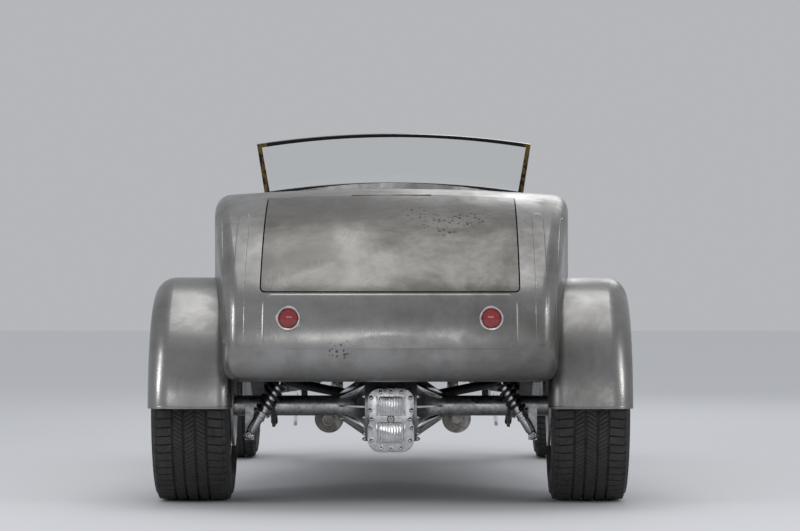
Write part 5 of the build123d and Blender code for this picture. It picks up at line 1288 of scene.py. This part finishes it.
rim, spokes, button = steering()
finish_piece(rim, bakelite, "steering_wheel", ("steering_wheel",))
finish_piece(spokes, polished, "steering_wheel", ("steering_wheel",))
finish_piece(button, chrome, "steering_wheel", ("steering_wheel",))


# ------------------------------------------------------------------ dashboard
DASH_FACE_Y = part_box("dashboard")[0][1]


def gauge(name, x, z, radius, needle):
    """Bezel, face, ticks and needle of one round gauge, facing the seat."""
    place = (x, DASH_FACE_Y, z)
    bezel = turned("bezel",
                   [(0.000, radius - 0.001), (0.000, radius + 0.006), (0.006, radius + 0.006),
                    (0.0095, radius + 0.002),
                             (0.0095, radius - 0.0015), (0.004, radius - 0.001)], place,
                   (0, -1, 0), 48)
    face = turned("face", [(0.0, 0.0), (0.0, radius), (0.0028, radius), (0.0028, 0.0)], place,
                  (0, -1, 0), 48)
    marks = []
    for step in range(11):
        angle = radians(225 - 27 * step)
        long_tick = step % 5 == 0
        tick = slab("tick", (radius * (0.66 if long_tick else 0.76), -0.0038, -radius * 0.018),
                    (radius * 0.92, -0.0026, radius * 0.018))
        tick.data.transform(Matrix.Translation(place) @ Matrix.Rotation(-angle, 4, "Y"))
        marks.append(tick)
    hand = slab("hand", (-radius * 0.16, -0.0056, -radius * 0.022),
                (radius * 0.78, -0.0048, radius * 0.022), 0.0003, 1)
    hand.data.transform(Matrix.Translation(place) @ Matrix.Rotation(-radians(needle), 4, "Y"))
    pin = turned("pin",
                 [(0.0028, 0.0), (0.0028, radius * 0.09), (0.0064, radius * 0.08), (0.0064, 0.0)],
                 place, (0, -1, 0), 20)
    return bezel, face, joined(name + "_ink", [*marks, hand, pin])


sets = [gauge("gauge", *spec) for spec in ((-0.390, 1.085, 0.042, 205), (-0.290, 1.085, 0.042, 215),
                                           (-0.055, 1.085, 0.026, 120),
                                           (0.015, 1.085, 0.026, 95), (0.085, 1.085, 0.026, 140))]
finish_piece(joined("gauge_bezels", [s[0] for s in sets]), chrome, "chassis")
finish_piece(joined("gauge_faces", [s[1] for s in sets]), gauge_face, "chassis")
finish_piece(joined("gauge_marks", [s[2] for s in sets]), gauge_ink, "chassis")

knobs = []
for x in (-0.175, -0.135, 0.165, 0.205):
    knobs.append(turned("knob",
                        [(0.0, 0.0), (0.0, 0.006), (0.010, 0.005), (0.012, 0.0105), (0.020, 0.0105),
                         (0.0225, 0.008), (0.0225, 0.0)],
                        (x, DASH_FACE_Y, 1.035), (0, -1, 0), 24))
finish_piece(joined("dash_knobs", knobs), polished, "chassis")


# ------------------------------------------------------------------ wheels' small parts
def wheel_details(name, hub, disc_x, rim_radius):
    """Five cone nuts, valve stem and cap trim of one right-hand wheel."""
    parts = []
    for step in range(5):
        turn = radians(72 * step + 90)
        place = Vector((hub.x + disc_x + 0.0175, hub.y + 0.0575 * sin(turn),
                        hub.z + 0.0575 * cos(turn)))
        parts.append(acorn_nut("lug_nut", place, (1, 0, 0), 0.019, 0.016))
    stem = turned("stem",
                  [(0.0, 0.0), (0.0, 0.0055), (0.018, 0.0035), (0.018, 0.0042), (0.028, 0.0042),
                   (0.030, 0.003), (0.030, 0.0)],
                  (hub.x + disc_x + 0.015, hub.y, hub.z + rim_radius - 0.022), (1, 0, 0), 16)
    ring = turned("cap_ring",
                  [(disc_x + 0.0335, 0.0425), (disc_x + 0.0335, 0.0445), (disc_x + 0.038, 0.0440),
                   (disc_x + 0.040, 0.0400),
                               (disc_x + 0.036, 0.0400)], hub, (1, 0, 0), 48)
    return joined(name, [*parts, stem, ring])


for stem, hub, disc_x, rim_radius in (("rear", REAR_HUB, 0.030, REAR_RIM_RADIUS),
                                      ("front", FRONT_HUB, 0.034, FRONT_RIM_RADIUS)):
    piece = wheel_details(stem + "_wheel_nuts", hub, disc_x, rim_radius)
    mirrored_pair(piece, stem + "_wheel_nuts", chrome,
                  (f"{stem}_wheel_left", f"{stem}_wheel_right"))

# ------------------------------------------------------------------ corner reveals
BAND_LINE_X = 0.585                          # where the tail turns into the sides
tail_corner = cast_skin("body_tub", (0, 1, 0))
body_side = cast_skin("body_tub", (-1, 0, 0), base=lambda z: tail_corner(BAND_LINE_X, z)[0].y)
for name, skin, (low_a, high_a, low_b,
                 high_b) in (("tail_corner_bands", tail_corner, (0.520, 0.568, 0.592, 1.078)),
                                                   ("side_corner_bands", body_side,
                                                    (0.028, 0.076, 0.596, 1.062))):
    band = raised_panel(name, rounded_outline(low_a, high_a, low_b, high_b, 0.0235, 8), skin,
                        0.0020, 0.005)
    finish_piece(joined(name, [band, copied(band, MIRROR)]), steel_body, "chassis")


# ------------------------------------------------------------------ engine and gearbox
CRANK_Z = 0.440
PORT_Y = 0.925                               # rearmost cylinder, and from one to the next
PORT_PITCH = 0.108
CLEANER_Y = 1.090
FAN_Z = 0.610
ENGINE_REAR_Y = FIREWALL_Y + 0.032
GEARBOX_REAR_Y = REAR_Y + 1.330


def bank_matrix(side):
    """Frame of one bank of cylinders, leaning 45 degrees out from the crankshaft."""
    return Matrix.Translation((0, 0, CRANK_Z)) @ Matrix.Rotation(radians(45 * side), 4, "Y")


def engine_castings():
    """Block, heads, sump, timing cover and bell housing."""
    parts = [slab("block", (-0.120, 0.850, 0.400), (0.120, 1.320, 0.560), 0.014),
             slab("sump", (-0.105, 0.870, 0.345), (0.105, 1.120, 0.405), 0.022, 3),
             slab("sump_front", (-0.100, 1.110, 0.365), (0.100, 1.310, 0.405), 0.014, 3),
             slab("sump_rail", (-0.124, 0.852, 0.398), (0.124, 1.322, 0.408), 0.003),
             slab("timing_cover", (-0.080, 1.318, 0.400), (0.080, 1.336, 0.640), 0.006)]
    for side in (-1, 1):
        lean = bank_matrix(side)
        parts.append(slab("bank", (-0.068, 0.862, 0.060), (0.068, 1.312, 0.190), 0.008, 2, lean))
        parts.append(slab("head", (-0.072, 0.856, 0.192), (0.070, 1.318, 0.249), 0.006, 2, lean))
        for step in range(4):
            at_y = PORT_Y + PORT_PITCH * step
            parts.append(slab("port", (side * 0.066 - 0.012, at_y - 0.022, 0.200),
                              (side * 0.066 + 0.012, at_y + 0.022, 0.240), 0.004, 2, lean))
    housing = [(0.0, 0.0), (0.0, 0.148), (0.022, 0.150), (0.030, 0.142), (0.100, 0.118),
               (0.132, 0.104), (0.142, 0.096), (0.142, 0.0)]
    parts.append(turned("bell_housing", housing, (0, ENGINE_REAR_Y, CRANK_Z), (0, -1, 0), 48))
    return joined("engine_castings", parts)


def gearbox():
    """Gearbox case with ribs and its tail housing."""
    length = ENGINE_REAR_Y - 0.142 - GEARBOX_REAR_Y
    profile = [(0.0, 0.0), (0.0, 0.096), (0.012, 0.098)]
    for step in range(5):
        start = 0.030 + 0.052 * step
        profile += [(start, 0.080), (start + 0.040, 0.080), (start + 0.042, 0.088),
                    (start + 0.048, 0.088)]
    profile += [(0.300, 0.074), (0.330, 0.056), (length - 0.030, 0.050), (length - 0.028, 0.062),
                (length, 0.062), (length, 0.0)]
    return turned("gearbox_case", profile, (0, ENGINE_REAR_Y - 0.142, CRANK_Z), (0, -1, 0), 40)


def rocker_covers():
    """Finned rocker covers with their nuts, and the intake manifold."""
    parts = []
    for side in (-1, 1):
        lean = bank_matrix(side)
        parts.append(slab("cover", (-0.038, 0.868, 0.247), (0.038, 1.306, 0.277), 0.010, 3, lean))
        parts.append(slab("cover_lip", (-0.044, 0.862, 0.247), (0.044, 1.312, 0.253),
                          0.002, 2, lean))
        for step in range(7):
            at_x = -0.024 + 0.008 * step
            parts.append(slab("fin", (at_x - 0.0014, 0.886, 0.274), (at_x + 0.0014, 1.288, 0.2825),
                              0.0006, 1, lean))
        for step in range(4):
            place = lean @ Vector((side * 0.040, 0.888 + 0.133 * step, 0.253))
            parts.append(acorn_nut("cover_nut", place, lean.to_3x3() @ Vector((0, 0, 1)),
                                   0.010, 0.009))
    parts.append(slab("plenum", (-0.060, 0.960, 0.600), (0.060, 1.220, 0.668), 0.014, 3))
    parts.append(slab("valley", (-0.095, 0.880, 0.560), (0.095, 1.300, 0.606), 0.010, 2))
    for side in (-1, 1):
        for step in range(4):
            at_y = PORT_Y + PORT_PITCH * step
            toward = CLEANER_Y + (at_y - CLEANER_Y) * 0.62
            parts.append(tube("runner",
                              [(side * 0.030, toward, 0.640),
                               (side * 0.070, at_y * 0.5 + toward * 0.5, 0.632),
                               (side * 0.104, at_y, 0.598)],
                              0.0165, 14, smooth_line=True))
    return joined("engine_bright_castings", parts)


def air_cleaner():
    """Carburettor, pleated air cleaner and wing nut."""
    top = [(0.0, 0.0), (0.0, 0.168), (0.004, 0.172), (0.010, 0.172), (0.014, 0.166),
           (0.0155, 0.120), (0.022, 0.060), (0.0235, 0.0)]
    lid = turned("cleaner_lid", top, (0, CLEANER_Y, 0.840), (0, 0, 1), 72)
    pan = turned("cleaner_pan",
                 [(0.0, 0.0), (0.0, 0.060), (0.006, 0.160), (0.004, 0.170), (0.010, 0.172),
                  (0.014, 0.166), (0.012, 0.0)],
                 (0, CLEANER_Y, 0.786), (0, 0, 1), 72)
    nut = turned("wing_nut", [(0.0, 0.0), (0.0, 0.010), (0.010, 0.007), (0.014, 0.0)],
                 (0, CLEANER_Y, 0.863), (0, 0, 1), 20)
    wings = [slab("wing", (-0.018, 1.0885, 0.868), (-0.004, 1.0915, 0.884), 0.0012),
             slab("wing", (0.004, 1.0885, 0.868), (0.018, 1.0915, 0.884), 0.0012)]
    bright = joined("air_cleaner_shell", [lid, pan, nut, *wings])
    bpy.ops.object.select_all(action="DESELECT")
    bpy.ops.mesh.primitive_cylinder_add(vertices=144, radius=0.160, depth=0.044, location=(0, 0, 0))
    pleats = fresh("air_cleaner_pleats")
    for vertex in pleats.data.vertices:
        if vertex.index // 2 % 2:
            vertex.co.x *= 0.955
            vertex.co.y *= 0.955
    pleats.data.transform(Matrix.Translation((0, CLEANER_Y, 0.8195)))
    body = [slab("carburettor", (-0.045, 1.045, 0.664), (0.045, 1.135, 0.725), 0.010, 2),
            slab("fuel_bowl", (-0.030, 1.130, 0.680), (0.030, 1.165, 0.730), 0.008, 2),
            turned("throat",
                   [(0.0, 0.0), (0.0, 0.040), (0.060, 0.044), (0.066, 0.044), (0.066, 0.0)],
                   (0, CLEANER_Y, 0.722), (0, 0, 1), 36)]
    return bright, smooth(pleats, 20), joined("carburettor_body", body)


def pulley(radius, width, place):
    """Pulley with one groove."""
    profile = [(0.0, 0.0), (0.0, radius), (width * 0.2, radius), (width * 0.5, radius * 0.86),
               (width * 0.8, radius), (width, radius),
               (width, radius * 0.8), (width * 0.6, radius * 0.74), (width * 0.6, radius * 0.3),
               (width * 0.9, radius * 0.26), (width * 0.9, 0.0)]
    return turned("pulley", profile, place, (0, 1, 0), 48)


def engine_front():
    """Pulleys, fan and dynamo; the belt runs round all three pulleys."""
    crank = pulley(0.072, 0.024, (0, 1.334, CRANK_Z))
    pump = pulley(0.056, 0.024, (0, 1.334, FAN_Z))
    small = pulley(0.034, 0.024, (0.128, 1.334, 0.660))
    dynamo = turned("dynamo",
                    [(0.0, 0.0), (0.0, 0.036), (0.008, 0.046), (0.096, 0.046), (0.104, 0.038),
                     (0.104, 0.0)], (0.128, 1.228, 0.660), (0, 1, 0), 36)
    blades = []
    for step in range(6):
        arm = Matrix.Translation((0, 1.367, FAN_Z)) @ Matrix.Rotation(radians(60 * step), 4, "Y")
        turn = arm @ Matrix.Rotation(radians(24), 4, "Z")
        blades.append(slab("blade", (-0.024, -0.0009, 0.040), (0.024, 0.0009, 0.158),
                           0.0004, 1, turn))
        blades.append(slab("arm", (-0.009, -0.0015, 0.0), (0.009, 0.0015, 0.072), 0.0005, 1, arm))
    hub = turned("fan_hub",
                 [(0.0, 0.0), (0.0, 0.026), (0.014, 0.026), (0.020, 0.018), (0.020, 0.0)],
                 (0, 1.356, FAN_Z), (0, 1, 0), 32)
    bright = joined("pulleys_and_fan", [crank, pump, small, dynamo, hub, *blades])
    path = []
    rounds = ((0, CRANK_Z, 0.0668, 190, 350), (0.128, 0.660, 0.0310, 350, 460),
              (0, 0.610, 0.0518, 100, 190))
    for x, z, radius, first, last in rounds:
        for step in range(13):
            turn = radians(first + (last - first) * step / 12)
            path.append((x + radius * cos(turn), 1.346, z + radius * sin(turn)))
    belt = tube("fan_belt", path, 0.0052, 8, closed=True)
    return bright, belt


def distributor():
    """Distributor at the back of the valley with its leads down to the heads."""
    cap = turned("distributor_cap",
                 [(0.0, 0.0), (0.0, 0.022), (0.040, 0.022), (0.044, 0.036), (0.070, 0.038),
                  (0.078, 0.034), (0.084, 0.024), (0.090, 0.0)],
                 (0, 0.884, 0.600), (0, 0, 1), 32)
    leads = []
    for side in (-1, 1):
        for step in range(4):
            turn = radians(45 * step + (22 if side > 0 else 202))
            start = Vector((0.026 * cos(turn), 0.884 + 0.026 * sin(turn), 0.684))
            port_y = PORT_Y + PORT_PITCH * step
            end = bank_matrix(side) @ Vector((side * 0.078, port_y + 0.030, 0.222))
            over = Vector((side * 0.090, 0.890 + 0.020 * step, 0.700 - 0.006 * step))
            along = Vector((side * (0.168 + 0.004 * step), (port_y + 0.91) / 2, 0.664))
            leads.append(tube("lead",
                              [start, start + Vector((0, 0, 0.022)), over, along,
                               end + Vector((side * 0.006, 0, 0.040)), end], 0.0038, 8,
                              smooth_line=True))
            leads.append(turned("boot", [(0.0, 0.0), (0.0, 0.0075), (0.024, 0.006), (0.024, 0.0)],
                                end, (side * 0.45, 0, 0.89), 14))
    return joined("distributor_and_leads", [cap, *leads])


def headers():
    """Four pipes a side that gather into the exhaust."""
    parts = []
    for side in (-1, 1):
        gather = Vector((side * 0.2553, 1.0015, 0.490))
        for step in range(4):
            port_y = PORT_Y + PORT_PITCH * step
            port = bank_matrix(side) @ Vector((side * 0.070, port_y, 0.220))
            parts.append(tube("primary",
                              [port, port + Vector((side * 0.020, 0, -0.012)),
                               Vector((side * 0.232, port_y * 0.65 + 0.351, port.z - 0.045)),
                                          gather + Vector((0, 0.012 * (step - 1.5), 0.028)),
                               gather], 0.0150, 14, smooth_line=True))
        parts.append(turned("collector",
                            [(0.0, 0.0), (0.0, 0.0285), (0.010, 0.0285), (0.034, 0.0260),
                             (0.034, 0.0)], gather + Vector((0, 0, -0.010)), (0, 0, 1), 28))
    return joined("exhaust_headers", parts)


cleaner, pleats, carburettor = air_cleaner()
fan, belt = engine_front()
for piece, name, material, slot in (
        (engine_castings(), "engine_castings", engine_paint, "dark_iron"),
                                    (gearbox(), "gearbox_case", cast_alloy, "dark_iron"),
        (rocker_covers(), "engine_bright_castings", polished, "polished_aluminium"),
                                    (cleaner, "air_cleaner_shell", chrome, "chrome"),
        (pleats, "air_cleaner_pleats", filter_paper, "rim_plastic"),
                                    (carburettor, "carburettor_body", cast_alloy,
                                     "polished_aluminium"),
        (fan, "pulleys_and_fan", chrome, "chrome"), (belt, "fan_belt", rubber, "tyre_rubber"),
        (distributor(), "distributor_and_leads", bakelite, "rim_plastic"),
                                    (headers(), "exhaust_headers", exhaust_steel, "chrome")):
    piece.name = name
    piece.data.name = name
    finish_piece(piece, material, "chassis", ("engine",))


# ------------------------------------------------------------------ door and quarter trim
def door_card(side):
    """Padded leather card on a door's inner face."""
    skin = cast_skin(f"door_{side}", (1 if side == "right" else -1, 0, 0), -0.30)
    outline = rounded_outline(DOOR_LOW.y + 0.045, DOOR_HIGH.y - 0.045, 0.610, 1.075, 0.035, 6)
    return raised_panel("door_card_" + side, outline, skin, 0.007, 0.014)


DOOR_LOW, DOOR_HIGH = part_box("door_right")
for side in ("left", "right"):
    finish_piece(door_card(side), leather, "door_" + side)


# ------------------------------------------------------------------ floor, light and camera
FLOOR_TONE = (0.60, 0.61, 0.63)


bpy.ops.mesh.primitive_plane_add(size=1)
floor = bpy.context.active_object
floor.name = "studio_floor"
floor.data.transform(Matrix.Scale(60, 4))
floor.data.materials.append(Finish("floor_paper", FLOOR_TONE, 0.0, 0.9).material)

world = bpy.data.worlds.new("studio")
bpy.context.scene.world = world
world.use_nodes = True
wt = world.node_tree
back = wt.nodes["Background"]
back.inputs["Color"].default_value = (*FLOOR_TONE, 1)
back.inputs["Strength"].default_value = 1.15
seen = wt.nodes.new("ShaderNodeBackground")
seen.inputs["Color"].default_value = (0.46, 0.47, 0.49, 1)
seen.inputs["Strength"].default_value = 1.0
ray = wt.nodes.new("ShaderNodeLightPath")
blend = wt.nodes.new("ShaderNodeMixShader")
kinds = maths(wt, "ADD", ray.outputs["Is Camera Ray"], ray.outputs["Is Glossy Ray"])
kinds = maths(wt, "ADD", kinds, ray.outputs["Is Transmission Ray"], clamp=True)
wt.links.new(kinds, blend.inputs[0])
wt.links.new(back.outputs[0], blend.inputs[1])
wt.links.new(seen.outputs[0], blend.inputs[2])
wt.links.new(blend.outputs[0], wt.nodes["World Output"].inputs["Surface"])


def lamp(name, place, target, size, power):
    """Soft rectangular lamp that points at a target."""
    data = bpy.data.lights.new(name, "AREA")
    data.shape = "RECTANGLE"
    data.size, data.size_y = size
    data.energy = power
    made = bpy.data.objects.new(name, data)
    bpy.context.scene.collection.objects.link(made)
    made.location = place
    made.visible_camera = False
    made.visible_transmission = False
    made.rotation_euler = (Vector(target) - Vector(place)).to_track_quat("-Z", "Y").to_euler()


lamp("left_strip", (-5.0, -4.2, 2.7), (-0.4, -1.4, 0.8), (0.8, 3.0), 70)
lamp("right_strip", (5.0, -4.2, 2.7), (0.4, -1.4, 0.8), (0.8, 3.0), 70)
lamp("overhead", (0, -0.6, 4.8), (0, -0.4, 0), (2.4, 4.6), 60)
lamp("front_fill", (1.5, 6.5, 4.2), (0, 1.2, 0.6), (3.0, 2.2), 45)
lamp("rear_low_fill", (0.0, -7.5, 1.4), (0, -1.8, 0.45), (3.6, 0.8), 20)

CAMERA = Vector((0.096, -13.18, 0.881))
data = bpy.data.cameras.new("photo_view")
data.lens = 143.7
data.sensor_width = 36
data.clip_end = 200
camera = bpy.data.objects.new("photo_view", data)
bpy.context.scene.collection.objects.link(camera)
camera.location = CAMERA
camera.rotation_euler = (radians(90), 0, radians(0.3))
bpy.context.scene.camera = camera
bpy.context.scene.view_settings.view_transform = "Standard"
